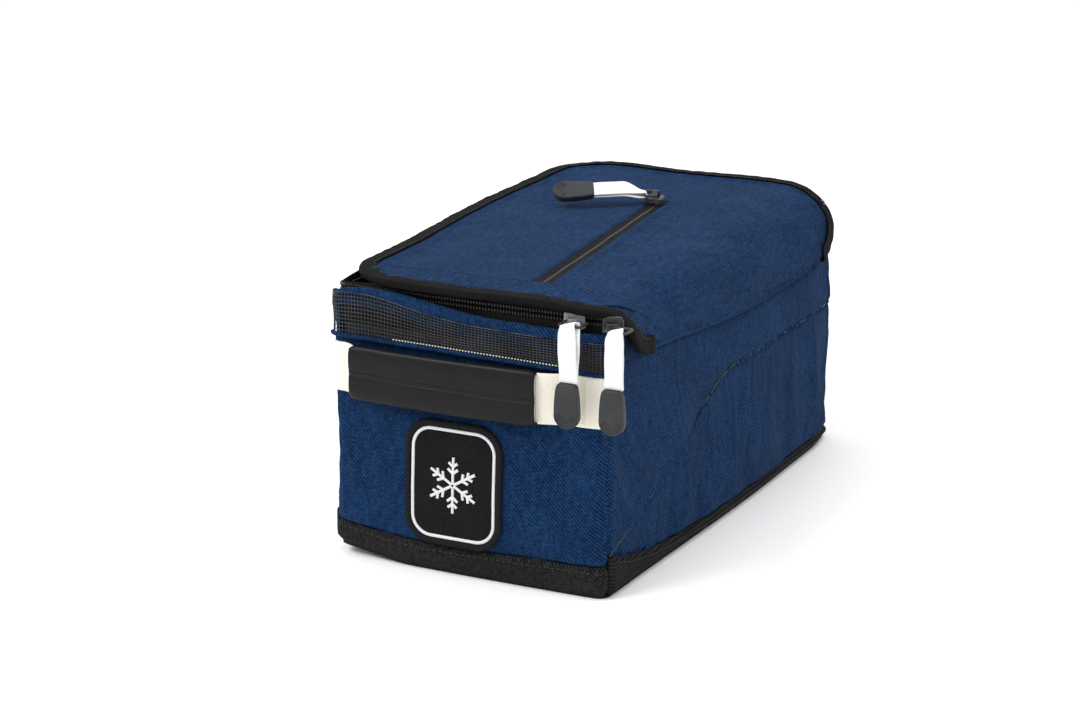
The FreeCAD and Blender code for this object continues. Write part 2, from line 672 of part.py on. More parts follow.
def grip(name):
    """A rubber grip: a tapered tongue with a round end, hanging down from its neck."""
    half, neck = size("grip_width") / 2, size("grip_neck") / 2
    length, thick = size("grip_length"), size("grip_thickness")
    shoulder = -length + half
    outline = [(-neck, 0), (neck, 0), (half, shoulder), ((0, -length), (-half, shoulder))]
    return plate(name, outline, "y", -thick, 0)


def wire_loop(name, reach, inner_reach):
    """A rectangular loop of flat wire, from the pivot out to the ribbon."""
    outside = block(f"{name}_outside", ("-loop_width / 2", "loop_width / 2"),
                    (f"-({reach})", "wire / 2"), ("-wire / 2", "wire / 2"))
    inside = block(f"{name}_inside", ("-loop_width / 2 + wire", "loop_width / 2 - wire"),
                   (inner_reach, "-wire / 2"), ("-wire", "wire"))
    return cut(name, outside, inside)


def placed(thing, name, place):
    """A sub-part at its place, kept as its own object."""
    made = doc.addObject("Part::Compound", f"{name}_set")
    made.Links = [thing]
    made.Placement = place
    return node(made, name)


def pull(tag, place, reach, hang):
    """A wire loop, a doubled ribbon and a grip that swing together on a slider.

    In its own place the pivot is the origin, the loop reaches out along -Y and the ribbon
    hangs along -Z from the loop's outer bar. A lying pull has its ribbon in line instead.
    """
    loop = wire_loop(f"{tag}_loop_shape", reach, f"-({reach}) + wire")
    if hang:
        y = (f"-({reach})", f"-({reach}) + ribbon_thickness")
        ribbon_z = ("-wire / 2 - ribbon_length", "-wire / 2")
        ribbon = block(f"{tag}_ribbon_shape", ("-ribbon_width / 2", "ribbon_width / 2"),
                       y, ribbon_z)
        end = grip(f"{tag}_grip_shape")
        drop = -size("wire") / 2 - size("ribbon_length")
        lift = -size(reach) + size("ribbon_thickness")
        end_place = FreeCAD.Placement(FreeCAD.Vector(0, lift, drop), FreeCAD.Rotation())
    else:
        y = (f"-({reach}) - ribbon_length", f"-({reach})")
        z = ("-ribbon_thickness / 2", "ribbon_thickness / 2")
        ribbon = block(f"{tag}_ribbon_shape", ("-ribbon_width / 2", "ribbon_width / 2"), y, z)
        end = grip(f"{tag}_grip_shape")
        flat = FreeCAD.Rotation(FreeCAD.Vector(1, 0, 0), -90)
        out = -size(reach) - size("ribbon_length")
        end_place = FreeCAD.Placement(
            FreeCAD.Vector(0, out, -size("grip_thickness") / 2), flat)
    placed(loop, f"{tag}_loop", place)
    placed(ribbon, f"{tag}_ribbon", place)
    placed(end, f"{tag}_grip", place.multiply(end_place))


def sliders_and_pulls():
    """The two sliders of the main zip and the one of the lid pocket, with their pulls."""
    upright = FreeCAD.Rotation(FreeCAD.Vector(1, 0, 0), 90)
    level = size("zip_level")
    for tag, alias, lean in (("left", "left_slider_x", 0),
                             ("right", "right_slider_x", size("corner_pull_lean"))):
        x = size(alias)
        part = slider(f"{tag}_slider", "wire + 2 * loop_play")
        part.Placement = FreeCAD.Placement(
            FreeCAD.Vector(x, -size("slider_back_y"), level), upright)
        pivot = FreeCAD.Vector(x + lean, -size("pivot_y"), level)
        pull(f"{tag}_pull", FreeCAD.Placement(pivot, FreeCAD.Rotation()),
             "front_loop_reach", True)
    part = slider("pocket_slider", "pocket_hole_width")
    across = FreeCAD.Rotation(FreeCAD.Vector(0, 0, 1), 90)
    here = skewed(FreeCAD.Vector(size("pocket_zip_x"), size("pocket_slider_y"), 0))
    foot = FreeCAD.Vector(0, 0, size("pocket_slider_foot"))
    part.Placement = FreeCAD.Placement(here + foot, pocket_turn().multiply(across))
    turn = FreeCAD.Rotation(FreeCAD.Vector(0, 0, 1), size("pocket_pull_turn") - 90)
    tip = FreeCAD.Rotation(FreeCAD.Vector(1, 0, 0), size("pocket_pull_tip"))
    pivot = here + FreeCAD.Vector(0, 0, size("pocket_pivot"))
    pull("pocket_pull", FreeCAD.Placement(pivot, turn.multiply(tip)), "pocket_loop_reach", False)


def check_and_write():
    """Stop on any failed object, then write each sub-part to its own file."""
    for thing in doc.Objects:
        if any(word in thing.State for word in ("Invalid", "Error")):
            raise RuntimeError(f"{thing.Name} failed: {thing.State}")
    os.makedirs("parts", exist_ok=True)
    for thing in NODES:
        shape = thing.Shape
        if shape.isNull() or not shape.isValid() or not shape.Solids:
            raise RuntimeError(f"{thing.Label} has no valid solid")
        shape.exportStep(f"parts/{thing.Label}.step")
    print(len(NODES), "sub-parts written")


fill_sheet()
walls()
sides()
foot_bands()
vent_trim()
main_zip()
lid()
pocket_zip()
handle()
badge()
sliders_and_pulls()
doc.recompute()
check_and_write()
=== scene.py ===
import json
import math

import bmesh
import bpy
import numpy as np
from mathutils import Matrix, Vector


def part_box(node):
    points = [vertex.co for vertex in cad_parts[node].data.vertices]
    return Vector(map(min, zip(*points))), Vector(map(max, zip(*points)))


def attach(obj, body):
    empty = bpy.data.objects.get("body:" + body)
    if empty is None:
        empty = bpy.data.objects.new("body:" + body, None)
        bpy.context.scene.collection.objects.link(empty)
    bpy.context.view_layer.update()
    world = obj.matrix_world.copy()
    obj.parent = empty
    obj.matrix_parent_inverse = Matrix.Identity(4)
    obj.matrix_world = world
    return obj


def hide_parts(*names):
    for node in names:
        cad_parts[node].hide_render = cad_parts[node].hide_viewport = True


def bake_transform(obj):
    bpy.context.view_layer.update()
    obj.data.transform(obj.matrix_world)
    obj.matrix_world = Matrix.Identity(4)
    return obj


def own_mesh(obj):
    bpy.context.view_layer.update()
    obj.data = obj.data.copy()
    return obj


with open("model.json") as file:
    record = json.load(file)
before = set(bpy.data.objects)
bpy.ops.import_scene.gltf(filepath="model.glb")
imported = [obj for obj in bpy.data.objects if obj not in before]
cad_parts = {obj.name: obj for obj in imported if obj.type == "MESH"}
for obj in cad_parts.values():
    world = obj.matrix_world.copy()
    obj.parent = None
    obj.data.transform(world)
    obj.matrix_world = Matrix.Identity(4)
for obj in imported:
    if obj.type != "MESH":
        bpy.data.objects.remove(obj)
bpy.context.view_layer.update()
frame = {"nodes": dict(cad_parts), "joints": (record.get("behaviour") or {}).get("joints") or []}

bl_info = {
    "name": "Sports kit bag",
    "version": (1, 0, 0),
    "blender": (4, 5, 0),
    "location": "View3D > Sidebar > Kit bag",
    "description": "Builds the soft shells, trim, zips, handle and badge of a small kit bag",
    "category": "Mesh",
}

# Shapes are worked out in millimetres and written to the meshes in metres. +X is the bag's
# right seen from its front, +Y runs to its back and +Z is up.
MM = 0.001


def low(node):
    """The lowest corner of a solid, in millimetres."""
    return np.array(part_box(node)[0]) / MM


def high(node):
    """The highest corner of a solid, in millimetres."""
    return np.array(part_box(node)[1]) / MM


def joint(name):
    """One joint of the record."""
    return next(j for j in frame["joints"] if j["name"] == name)


HALF_LENGTH = high("back_panel")[1]
SIDE = high("right_side_lower_panel")[0]
RIM = high("back_panel")[2]
LID_TOP = high("lid_panel")[2]
LID_FRONT = low("lid_panel")[1] + 1.2
ZIP_MEETS = high("body_zip_tape")[2]
ZIP_INSET = HALF_LENGTH + low("body_zip_tape")[1]
PULL_TAGS = ("left", "right", "pocket")

FRONT_PINCH = 0.8      # how much narrower the front is than the middle of the bag
ROUND = 8.5            # radius of the upright corners
SEAM_DEPTH = 2.0       # how far a panel's edge is drawn in at a seam
SEAM_ROLL = 1.7        # how far from the seam the cloth rolls in
CLOTH = 1.3            # thickness of the cloth with its foam
LID_CLOTH = 1.4        # thickness of the lid's cloth
CORNER_LIFT = 5.0      # how far the foot's front left corner stands off the floor
BINDING_STITCHES = 6.9     # how far in from the lid's edge its binding is stitched
BAND_STITCHES = 24.4   # how far behind the lid's front its band is stitched
ZIP_ROOM = 3.4         # height kept free under the lid for the zip's teeth

HALF_FRONT = SIDE - FRONT_PINCH
FLAT_X = HALF_FRONT - ROUND
FLAT_Y = HALF_LENGTH - ROUND
QUARTER = math.pi / 2 * ROUND
POCKET_LEAN = math.radians(32)     # how far the lid's pull leans over on its side
PULL_ASIDE = 2.4       # how far to one side of their sliders the front pulls hang

CORNER_SEAM = FLAT_X + 0.62 * QUARTER
BACK_SEAM = FLAT_X + QUARTER + 2 * FLAT_Y + 0.38 * QUARTER
HALF_ROUND = 2 * FLAT_X + 2 * QUARTER + 2 * FLAT_Y


# ---------------------------------------------------------------- sums used by the shapes

def smooth(start, end, x):
    """0 before start, 1 after end and an even ease between them."""
    t = np.clip((x - start) / (end - start), 0, 1)
    return t * t * (3 - 2 * t)


def hump(x, middle, width):
    """A bell of height 1."""
    return np.exp(-((x - middle) / width) ** 2)


def folds(a, b, rows):
    """Soft folds along straight lines: each row is two ends, a width and a height."""
    total = np.zeros(np.broadcast(a, b).shape)
    for a0, b0, a1, b1, width, height in rows:
        da, db = a1 - a0, b1 - b0
        t = np.clip(((a - a0) * da + (b - b0) * db) / (da * da + db * db), 0, 1)
        far = (a - a0 - t * da) ** 2 + (b - b0 - t * db) ** 2
        total += height * np.exp(-far / width**2) * (0.35 + 0.65 * np.sin(math.pi * t))
    return total


def ripple(a, b, reach, seed):
    """Small even unevenness of height 1 or so, from a few waves of about this reach."""
    rng = np.random.default_rng(seed)
    total = np.zeros(np.broadcast(a, b).shape)
    for _ in range(7):
        angle, phase = rng.uniform(0, 2 * math.pi, 2)
        k = 2 * math.pi / (reach * rng.uniform(0.7, 1.6))
        total += np.sin(k * (a * math.cos(angle) + b * math.sin(angle)) + phase)
    return total / 4


# ---------------------------------------------------------------- the body's outer surface

WALL_FOLDS = (  # s along the wall from the front's middle, z, s, z, width, height
    (42, 84, 72, 52, 6.0, -1.5), (60, 88, 76, 70, 4.0, 1.0), (30, 82, 62, 34, 7.0, 0.8),
    (50, 70, 70, 30, 5.0, -0.9), (-70, 82, -40, 60, 8.0, -0.8), (-66, 30, -30, 22, 7.0, 0.7),
    (-20, 132, 20, 124, 5.0, -0.6), (78, 100, 110, 78, 7.0, -1.0), (80, 60, 100, 40, 6.0, 0.8),
    (78, 78, 92, 70, 3.5, -1.2), (76, 92, 86, 88, 3.0, 0.9), (78, 44, 90, 38, 3.5, -0.8),
    (150, 104, 230, 92, 9.0, -0.9), (180, 66, 330, 50, 14.0, -1.4), (220, 36, 320, 22, 10.0, 0.9),
    (300, 100, 350, 60, 10.0, 1.1), (120, 60, 170, 90, 9.0, 0.9), (240, 74, 340, 76, 6.0, -0.8),
    (-100, 90, -180, 60, 12.0, -1.2), (-200, 100, -320, 60, 12.0, 1.2),
    (-150, 40, -260, 30, 10.0, -1.0),
    (380, 100, 470, 70, 12.0, -1.2), (400, 40, 480, 30, 10.0, 0.9),
)


def outline(s):
    """Where the wall stands before it bulges, and which way it faces, at a distance round it."""
    s = (s + HALF_ROUND) % (2 * HALF_ROUND) - HALF_ROUND
    side, q = np.where(s < 0, -1.0, 1.0), np.abs(s)
    rear = FLAT_X + QUARTER + 2 * FLAT_Y
    first = np.clip(q - FLAT_X, 0, QUARTER) / ROUND
    second = np.clip(q - rear, 0, QUARTER) / ROUND
    x = (np.minimum(q, FLAT_X) + ROUND * np.sin(first) - ROUND * (1 - np.cos(second))
         - np.maximum(q - rear - QUARTER, 0))
    y = (-HALF_LENGTH + ROUND * (1 - np.cos(first)) + np.clip(q - FLAT_X - QUARTER, 0, 2 * FLAT_Y)
         + ROUND * np.sin(second))
    turn = first + second
    return s, side * x, y, side * np.sin(turn), -np.cos(turn)


def side_puff(y, z):
    """How far the long sides bulge: most behind the middle, less at the foot and the rim."""
    along = 8.2 * smooth(-165, 50, y) - 3.5 * smooth(115, 148, y)
    up = (0.75 + 0.25 * smooth(0, 40, z)) * (1 - 0.8 * smooth(64, 146, z))
    return along * up


def end_puff(x, y, z):
    """How far the front and the back bulge, most just above the bands."""
    across = 1 - (x / 92) ** 2
    up = 3.2 * (1 - smooth(30, 92, z)) - 1.2 * (1 - smooth(0, 14, z))
    return across * np.where(y < 0, up, 1.4 * up)


def corner_lift(x, y):
    """How far the foot lifts towards the front left corner."""
    return CORNER_LIFT * smooth(-28, -76, x) * smooth(-105, -146, y)


def wall(s, z, out=0.0):
    """A point of the body's outside, at a distance round the wall, a height and an offset."""
    s, x, y, nx, ny = outline(np.asarray(s, float))
    puff = side_puff(y, z) * np.abs(nx) + end_puff(x, y, z) * np.abs(ny)
    puff = puff + folds(s, z, WALL_FOLDS) + 0.16 * ripple(s, z, 23, 3)
    puff = puff - 3.4 * (1 - smooth(0, 6, z)) + out
    lift = corner_lift(x, y) * (1 - smooth(0, 42, z))
    return np.stack((x + nx * puff, y + ny * puff, z + lift), -1)


def place_y(s):
    return outline(s)[2]


def place_x(s):
    return outline(s)[1]


def band_top(s):
    """The top of the black band round the foot: at the sides it sweeps down from the front."""
    y, x, q = place_y(s), place_x(s), np.abs(outline(s)[0])
    side = 7 + 17 * np.exp(-(y + HALF_LENGTH) / 38)
    ends = 15 + 1.6 * smooth(-20, 70, x)
    return np.where((q > CORNER_SEAM) & (q < BACK_SEAM), side, ends)


def pocket_seam(s):
    """The curved seam of the side: a gentle rise, a steeper sweep, then level."""
    y = place_y(s)
    return 20 + 16 * np.clip((y + HALF_LENGTH) / 45, 0, 1) + 46 * smooth(-114, -2, y)


def lid_seam_at(y):
    """The height of the seam between the lid and the right side, which sags in the middle."""
    return 117.5 - 10.3 * smooth(-140, 30, y) + 4.8 * smooth(96, 150, y)


def lid_seam(s):
    return lid_seam_at(place_y(s))


def raised_corner(s):
    """The top of the raised corners at the right."""
    y = np.abs(place_y(s))
    spot = wall(s, lid_seam(s))
    room = np.clip(under_lid(spot, 2.0) - lid_seam(s), 0.5, RIM - lid_seam(s))
    return lid_seam(s) + room * smooth(109, 138, y)


def vent_foot(s):
    return 115.7 - 0.0176 * place_x(s)


def vent_head(s):
    return 128 + 9.5 * hump(place_x(s), -60, 38)


def strip_top(s):
    x = place_x(s)
    return 133.5 + 8 * hump(x, -52, 44) - 3 * smooth(-66, -77, x)


def rim(s):
    """The top of the left wall and the back."""
    return RIM + 1.0 + 0.5 * ripple(np.asarray(s, float), 0 * np.asarray(s, float), 60, 8)


# ---------------------------------------------------------------- the lid's outer surface

LID_FOLDS = (  # x across, y along, x, y, width, height
    (40, 110, 96, 20, 8.0, 1.0), (20, 120, 90, 70, 7.0, -0.9), (58, -10, 100, 90, 6.0, -1.1),
    (74, -60, 92, 30, 6.0, 0.9), (-60, -70, -20, 40, 12.0, -0.8), (30, -90, 60, -20, 9.0, 0.7),
    (70, 40, 104, 128, 5.0, -0.9), (-70, 60, -30, 120, 8.0, 0.8), (24, -60, 44, 60, 10.0, -0.6),
    (56, 60, 98, 118, 5.0, 0.8), (62, -96, 100, -70, 6.0, -0.7), (84, -40, 104, 20, 5.0, -0.8),
)
LID_BACK = HALF_LENGTH + 0.5


def lid_left(y):
    return -73 - 13 * smooth(-120, 60, y) + 3 * smooth(60, 148, y)


def lid_roll(y):
    """The radius with which the lid turns down at the right."""
    return 14 + 6 * smooth(-148, -100, y) + 11 * smooth(-60, 110, y)


def lid_right(y):
    """How far right the rolled side of the lid stands: it flares at the front corner."""
    flare = 6.8 * (1 - smooth(-156, -106, y))
    return SIDE + 2.7 + flare + 1.6 * smooth(-80, 40, y) - 1.2 * smooth(110, 148, y)


def lid_crown(x, y):
    """The height of the lid's upper side."""
    edge = 2.4 * (np.abs(x) / 84) ** 2.5 + 2.0 * smooth(-112, -148, y) + 1.2 * smooth(120, 147, y)
    valley = 0.7 * hump(x, zip_line(y), 9) * smooth(-126, -110, y) * (1 - smooth(60, 80, y))
    lifted = 1.6 * smooth(66, 128, y) * smooth(-8, -72, x)
    puffed = 0.8 * hump(x, 38, 22) + 0.5 * hump(x, -40, 20) * (1 - hump(y, 45, 30))
    return LID_TOP - 0.4 - edge - valley + lifted + puffed


def zip_line(y):
    """Where the lid pocket's zip runs across the lid: straight, along its slider's run."""
    across, along, _ = joint("pocket_slider_run")["axis"]
    return 7 + (y - 67) * across / along


def lid(t, y, out=0.0):
    """A point of the lid's outside: t runs across the cloth, from its middle over the roll."""
    t, y = np.asarray(t, float), np.asarray(y, float)
    radius, right = lid_roll(y), lid_right(y)
    start = right - radius
    flat = np.minimum(t, start)
    turn = np.clip((t - start) / radius, 0, math.pi / 2)
    down = np.maximum(t - start - radius * math.pi / 2, 0)
    soft = folds(t, y, LID_FOLDS) + 0.18 * ripple(t, y, 31, 5) + out
    x = flat + (radius + soft) * np.sin(turn)
    z = lid_crown(flat, y) - radius + (radius + soft) * np.cos(turn) - down
    x = x + 0.10 * down
    return np.stack((x, y, z), -1)


def lid_height(x, y):
    """The height of the lid's outside over a point."""
    radius, start = lid_roll(y), lid_right(y) - lid_roll(y)
    over = np.clip(x - start, 0, radius * 0.98)
    return lid_crown(np.minimum(x, start), y) - radius + np.sqrt(radius**2 - over**2)


def under_lid(points, gap):
    """The height that lies a gap below the lid's cloth at some points."""
    return lid_height(points[..., 0], points[..., 1]) - LID_CLOTH - gap


def lid_seam_t(y):
    """How far across the cloth the lid's seam with the side lies."""
    radius, start = lid_roll(y), lid_right(y) - lid_roll(y)
    return start + radius * math.pi / 2 + lid_crown(start, y) - radius - lid_seam_at(y)


FRONT_CUT = 42.0       # how far from its front edge the lid's front right corner curves
BACK_CUT = 24.0        # how far from its back edge the lid's back right corner curves
LEFT_CUT = 34.0        # how far from its front and back edge the lid's left corners curve
LEFT_ROUND = 46.0      # how far those left corners curve across the lid


def lid_ends(y):
    """The cloth's two edges across the lid at a place along it."""
    near = np.maximum(LID_FRONT + LEFT_CUT - y, y - (LID_BACK - LEFT_CUT)) / LEFT_CUT
    near = np.clip(near, 0, 1)
    left = lid_left(y) + np.where(y < 0, LEFT_ROUND, 26) * (1 - np.sqrt(1 - near**2))
    near = np.maximum((LID_FRONT + FRONT_CUT - y) / FRONT_CUT, (y - LID_BACK + BACK_CUT) / BACK_CUT)
    near = np.clip(near, 0, 1)
    full = lid_seam_t(y)
    last = np.where(y < 0, 62, full - BACK_CUT)
    right = full - (full - last) * (1 - np.sqrt(1 - near**2))
    return left, right


def lid_edge(inset=0.0, step=2.0):
    """The bound edge of the lid in cloth sizes: from the right seam, front, left, back, right."""
    steps = 0.5 - 0.5 * np.cos(np.linspace(0, math.pi, 400))
    y = LID_FRONT + (LID_BACK - LID_FRONT) * steps
    left, right = lid_ends(y)
    front_half = (y < LID_FRONT + FRONT_CUT)
    back_half = (y > LID_BACK - BACK_CUT)
    front = np.stack((right[front_half], y[front_half]), -1)[::-1]
    back = np.stack((right[back_half], y[back_half]), -1)[::-1]
    path = np.concatenate((front, np.stack((left, y), -1), back))
    return resampled(path, step, inset)


def resampled(path, step, inset=0.0):
    """Evenly spaced points along a path in a plane, moved to its right side."""
    gaps = np.linalg.norm(np.diff(path, axis=0), axis=1)
    keep = np.concatenate(([True], gaps > 1e-6))
    path = path[keep]
    far = np.concatenate(([0], np.cumsum(np.linalg.norm(np.diff(path, axis=0), axis=1))))
    count = max(2, int(far[-1] / step))
    here = np.linspace(0, far[-1], count + 1)
    points = np.stack([np.interp(here, far, path[:, k]) for k in range(2)], -1)
    ahead = np.gradient(points, axis=0)
    ahead /= np.linalg.norm(ahead, axis=1)[:, None]
    aside = np.stack((ahead[:, 1], -ahead[:, 0]), -1)
    return points + aside * inset, aside, here


# ---------------------------------------------------------------- meshes

def to_object(name, mesh):
    """An object in the scene for a mesh, with smooth faces."""
    mesh.polygons.foreach_set("use_smooth", [True] * len(mesh.polygons))
    thing = bpy.data.objects.new(name, mesh)
    bpy.context.scene.collection.objects.link(thing)
    return thing


def grid(name, columns, rows, place, flip=False, merge=False):
    """A sheet of quads: place turns u and v, from 0 to 1, into points and cloth sizes."""
    bm = bmesh.new()
    bmesh.ops.create_grid(bm, x_segments=columns, y_segments=rows, size=1)
    uv_layer = bm.loops.layers.uv.new("UVMap")
    co = np.array([v.co[:2] for v in bm.verts])
    u, v = ((co - co.min(0)) / (co.max(0) - co.min(0))).T
    points, cloth = place(u, v)
    for vert, point in zip(bm.verts, points * MM):
        vert.co = point
    cloth = np.asarray(cloth) * MM
    for face in bm.faces:
        for loop in face.loops:
            loop[uv_layer].uv = cloth[loop.vert.index]
    if merge:
        bmesh.ops.remove_doubles(bm, verts=bm.verts, dist=0.00002)
    if flip:
        bmesh.ops.reverse_faces(bm, faces=bm.faces)
    mesh = bpy.data.meshes.new(name)
    bm.to_mesh(mesh)
    bm.free()
    return to_object(name, mesh)


def dense(t, share=0.55):
    """Numbers from 0 to 1 drawn closer together at both ends."""
    return (1 - share) * t + share * (0.5 - 0.5 * np.cos(math.pi * t))


def thick(thing, thickness, offset=-1.0):
    """Give a sheet a thickness in millimetres."""
    shell = thing.modifiers.new("Thickness", "SOLIDIFY")
    shell.thickness = thickness * MM
    shell.offset = offset
    shell.use_even_offset = False
    return thing


def panel(name, s_from, s_to, foot, head, columns, rows, out=0.0, seams="lrdu"):
    """A cloth panel of the wall between two edges, drawn in along the seams that it names."""
    def place(u, v):
        s = s_from + (s_to - s_from) * dense(u)
        bottom, top = foot(s), head(s)
        z = bottom + (top - bottom) * dense(v)
        gaps = {"l": s - s_from, "r": s_to - s, "d": z - bottom, "u": top - z}
        tuck = sum(np.exp(-(gaps[k] / SEAM_ROLL) ** 2) for k in seams) if seams else 0
        return wall(s, z, out - SEAM_DEPTH * tuck), np.stack((s, z), -1)
    return sewn(grid(name, columns, rows, place))


def tube(name, path, section, closed=False):
    """A strip swept along a path of frames: section gives aside and up for each v."""
    points, aside, up = path
    count, around = len(points), len(section)

    def place(u, v):
        i = np.rint(u * (count - 1)).astype(int)
        j = np.rint(v * (around - 1)).astype(int)
        a, b = section[j].T
        where = points[i] + aside[i] * a[:, None] + up[i] * b[:, None]
        return where, np.stack((far[i], girth[j]), -1)

    steps = np.linalg.norm(np.diff(points, axis=0), axis=1)
    far = np.concatenate(([0], np.cumsum(steps)))
    girth = np.concatenate(([0], np.cumsum(np.linalg.norm(np.diff(section, axis=0), axis=1))))
    return grid(name, count - 1, around - 1, place, merge=closed)


def ring(width, height, count=16):
    """A closed oval section."""
    a = np.linspace(0, 2 * math.pi, count + 1)
    return np.stack((width * np.cos(a), height * np.sin(a)), -1)


def frames(points, up):
    """A path's points with the directions aside and up at each."""
    points = np.asarray(points, float)
    ahead = np.gradient(points, axis=0)
    ahead /= np.linalg.norm(ahead, axis=1)[:, None]
    up = np.broadcast_to(np.asarray(up, float), points.shape)
    aside = np.cross(ahead, up)
    aside /= np.linalg.norm(aside, axis=1)[:, None]
    return points, aside, np.cross(aside, ahead)


def beads(name, points, ahead, up, length, width, height, sides=6):
    """Many small stitches or teeth: ovals at points, each with its own direction."""
    bm = bmesh.new()
    for point, along, above in zip(points, ahead, up):
        x = Vector(along).normalized()
        y = Vector(above).cross(x).normalized()
        z = x.cross(y)
        turn = Matrix((x * length / 2, y * width / 2, z * height / 2)).transposed().to_4x4()
        place = Matrix.Translation(Vector(point)) @ turn
        bmesh.ops.create_uvsphere(bm, u_segments=sides, v_segments=4, radius=1,
                                  matrix=Matrix.Scale(MM, 4) @ place)
    mesh = bpy.data.meshes.new(name)
    bm.to_mesh(mesh)
    bm.free()
    return to_object(name, mesh)


def wire(name, points, radius, closed=True, sides=3):
    """A bent wire as a mesh, through corner points."""
    curve_data = bpy.data.curves.new(name, "CURVE")
    curve_data.dimensions = "3D"
    curve_data.bevel_depth = radius * MM
    curve_data.bevel_resolution = sides
    curve_data.use_fill_caps = True
    spline = curve_data.splines.new("POLY")
    spline.points.add(len(points) - 1)
    for point, place in zip(spline.points, points):
        point.co = (*(np.asarray(place) * MM), 1)
    spline.use_cyclic_u = closed
    holder = bpy.data.objects.new(name, curve_data)
    mesh = bpy.data.meshes.new_from_object(holder)
    bpy.data.objects.remove(holder)
    bpy.data.curves.remove(curve_data)
    return to_object(name, mesh)


def joined(name, things):
    """Several objects as one, each with its own materials."""
    bm = bmesh.new()
    slots = []
    for thing in things:
        start = len(bm.faces)
        bm.from_mesh(thing.data)
        bm.faces.ensure_lookup_table()
        base = len(slots)
        slots += list(thing.data.materials)
        for face in bm.faces[start:]:
            face.material_index += base
    mesh = bpy.data.meshes.new(name)
    bm.to_mesh(mesh)
    bm.free()
    for slot in slots:
        mesh.materials.append(slot)
    for thing in things:
        bpy.data.objects.remove(thing)
    return to_object(name, mesh)


def applied(thing):
    """The object with its modifiers made part of its mesh."""
    graph = bpy.context.evaluated_depsgraph_get()
    mesh = bpy.data.meshes.new_from_object(thing.evaluated_get(graph))
    name, old = thing.name, thing.data
    thing.modifiers.clear()
    thing.data = mesh
    bpy.data.meshes.remove(old)
    mesh.name = name
    return thing


def sewn(thing):
    """Read a sheet's cloth sizes from its UV layer and hand the sheet back unchanged."""
    mesh = thing.data
    uv = np.empty(len(mesh.loops) * 2)
    mesh.uv_layers[0].data.foreach_get("uv", uv)
    return thing


def settled(thing, hold, slack=0.02, cap=1.7, frames_run=10):
    """Let a panel settle as cloth that is a little too large for where it is sewn."""
    mesh = thing.data
    before = np.empty(len(mesh.vertices) * 3)
    mesh.vertices.foreach_get("co", before)
    before = before.reshape(-1, 3)
    edge = np.zeros(len(before), bool)
    bm = bmesh.new()
    bm.from_mesh(mesh)
    edge[[vert.index for vert in bm.verts if vert.is_boundary]] = True
    bm.free()
    sewn = edge | hold(before / MM)
    group = thing.vertex_groups.new(name="Sewn")
    group.add([int(i) for i in np.nonzero(sewn)[0]], 1.0, "REPLACE")
    cloth = thing.modifiers.new("Settle", "CLOTH")
    settings = cloth.settings
    settings.quality, settings.mass, settings.air_damping = 4, 0.15, 3.0
    settings.tension_stiffness = settings.compression_stiffness = 20
    settings.shear_stiffness, settings.bending_stiffness = 12, 1.2
    settings.vertex_group_mass = "Sewn"
    settings.shrink_min = -slack
    settings.use_pressure, settings.uniform_pressure_force = True, 0.6
    settings.effector_weights.gravity = 0.4
    cloth.collision_settings.use_collision = False
    cloth.point_cache.frame_start, cloth.point_cache.frame_end = 1, frames_run
    scene = bpy.context.scene
    for number in range(1, frames_run + 1):
        scene.frame_set(number)
    solved = thing.evaluated_get(bpy.context.evaluated_depsgraph_get()).to_mesh()
    after = np.empty(len(mesh.vertices) * 3)
    solved.vertices.foreach_get("co", after)
    thing.evaluated_get(bpy.context.evaluated_depsgraph_get()).to_mesh_clear()
    thing.modifiers.remove(cloth)
    thing.vertex_groups.clear()
    scene.frame_set(1)
    move = (after.reshape(-1, 3) - before) / MM
    far = np.linalg.norm(move, axis=1, keepdims=True)
    move *= cap * np.tanh(far / cap) / np.maximum(far, 1e-6)
    print(thing.name, "before the cap moved by up to", round(float(far.max()), 2), "mm, mean",
          round(float(far.mean()), 3))
    mesh.vertices.foreach_set("co", (before + move * MM).ravel())
    mesh.update()
    return thing


def held(boxes, reach=0.0):
    """Which points lie under trim: boxes are pairs of corners in millimetres."""
    def inside(points):
        mask = np.zeros(len(points), bool)
        for lower, upper in boxes:
            lowest, highest = np.array(lower) - reach, np.array(upper) + reach
            mask |= np.all((points > lowest) & (points < highest), 1)
        return mask
    return inside


def rides(thing, body, slot, paint, *nodes):
    """Finish a piece: its material, its body and the solids that it stands for. The slot is not used.
    """
    if paint and not thing.data.materials:
        thing.data.materials.append(paint)
    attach(thing, body)
    if nodes:
        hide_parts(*nodes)
    return thing


# ---------------------------------------------------------------- materials

class Value:
    """A number from a shader node, for use in sums."""

    def __init__(self, paint, socket):
        self.paint, self.socket = paint, socket

    def math(self, operation, *others):
        values = dict(enumerate((self, *others)))
        return self.paint.node("ShaderNodeMath", {"operation": operation}, values)

    def __add__(self, other):
        return self.math("ADD", other)

    def __sub__(self, other):
        return self.math("SUBTRACT", other)

    def __mul__(self, other):
        return self.math("MULTIPLY", other)

    def __rsub__(self, other):
        return (self * -1) + other

    __radd__, __rmul__ = __add__, __mul__

    def sin(self):
        return self.math("SINE")

    def abs(self):
        return self.math("ABSOLUTE")

    def ease(self, start, end):
        settings = {"interpolation_type": "SMOOTHSTEP"}
        return self.paint.node("ShaderNodeMapRange", settings, {"Value": self, "From Min": start,
                                                                "From Max": end})


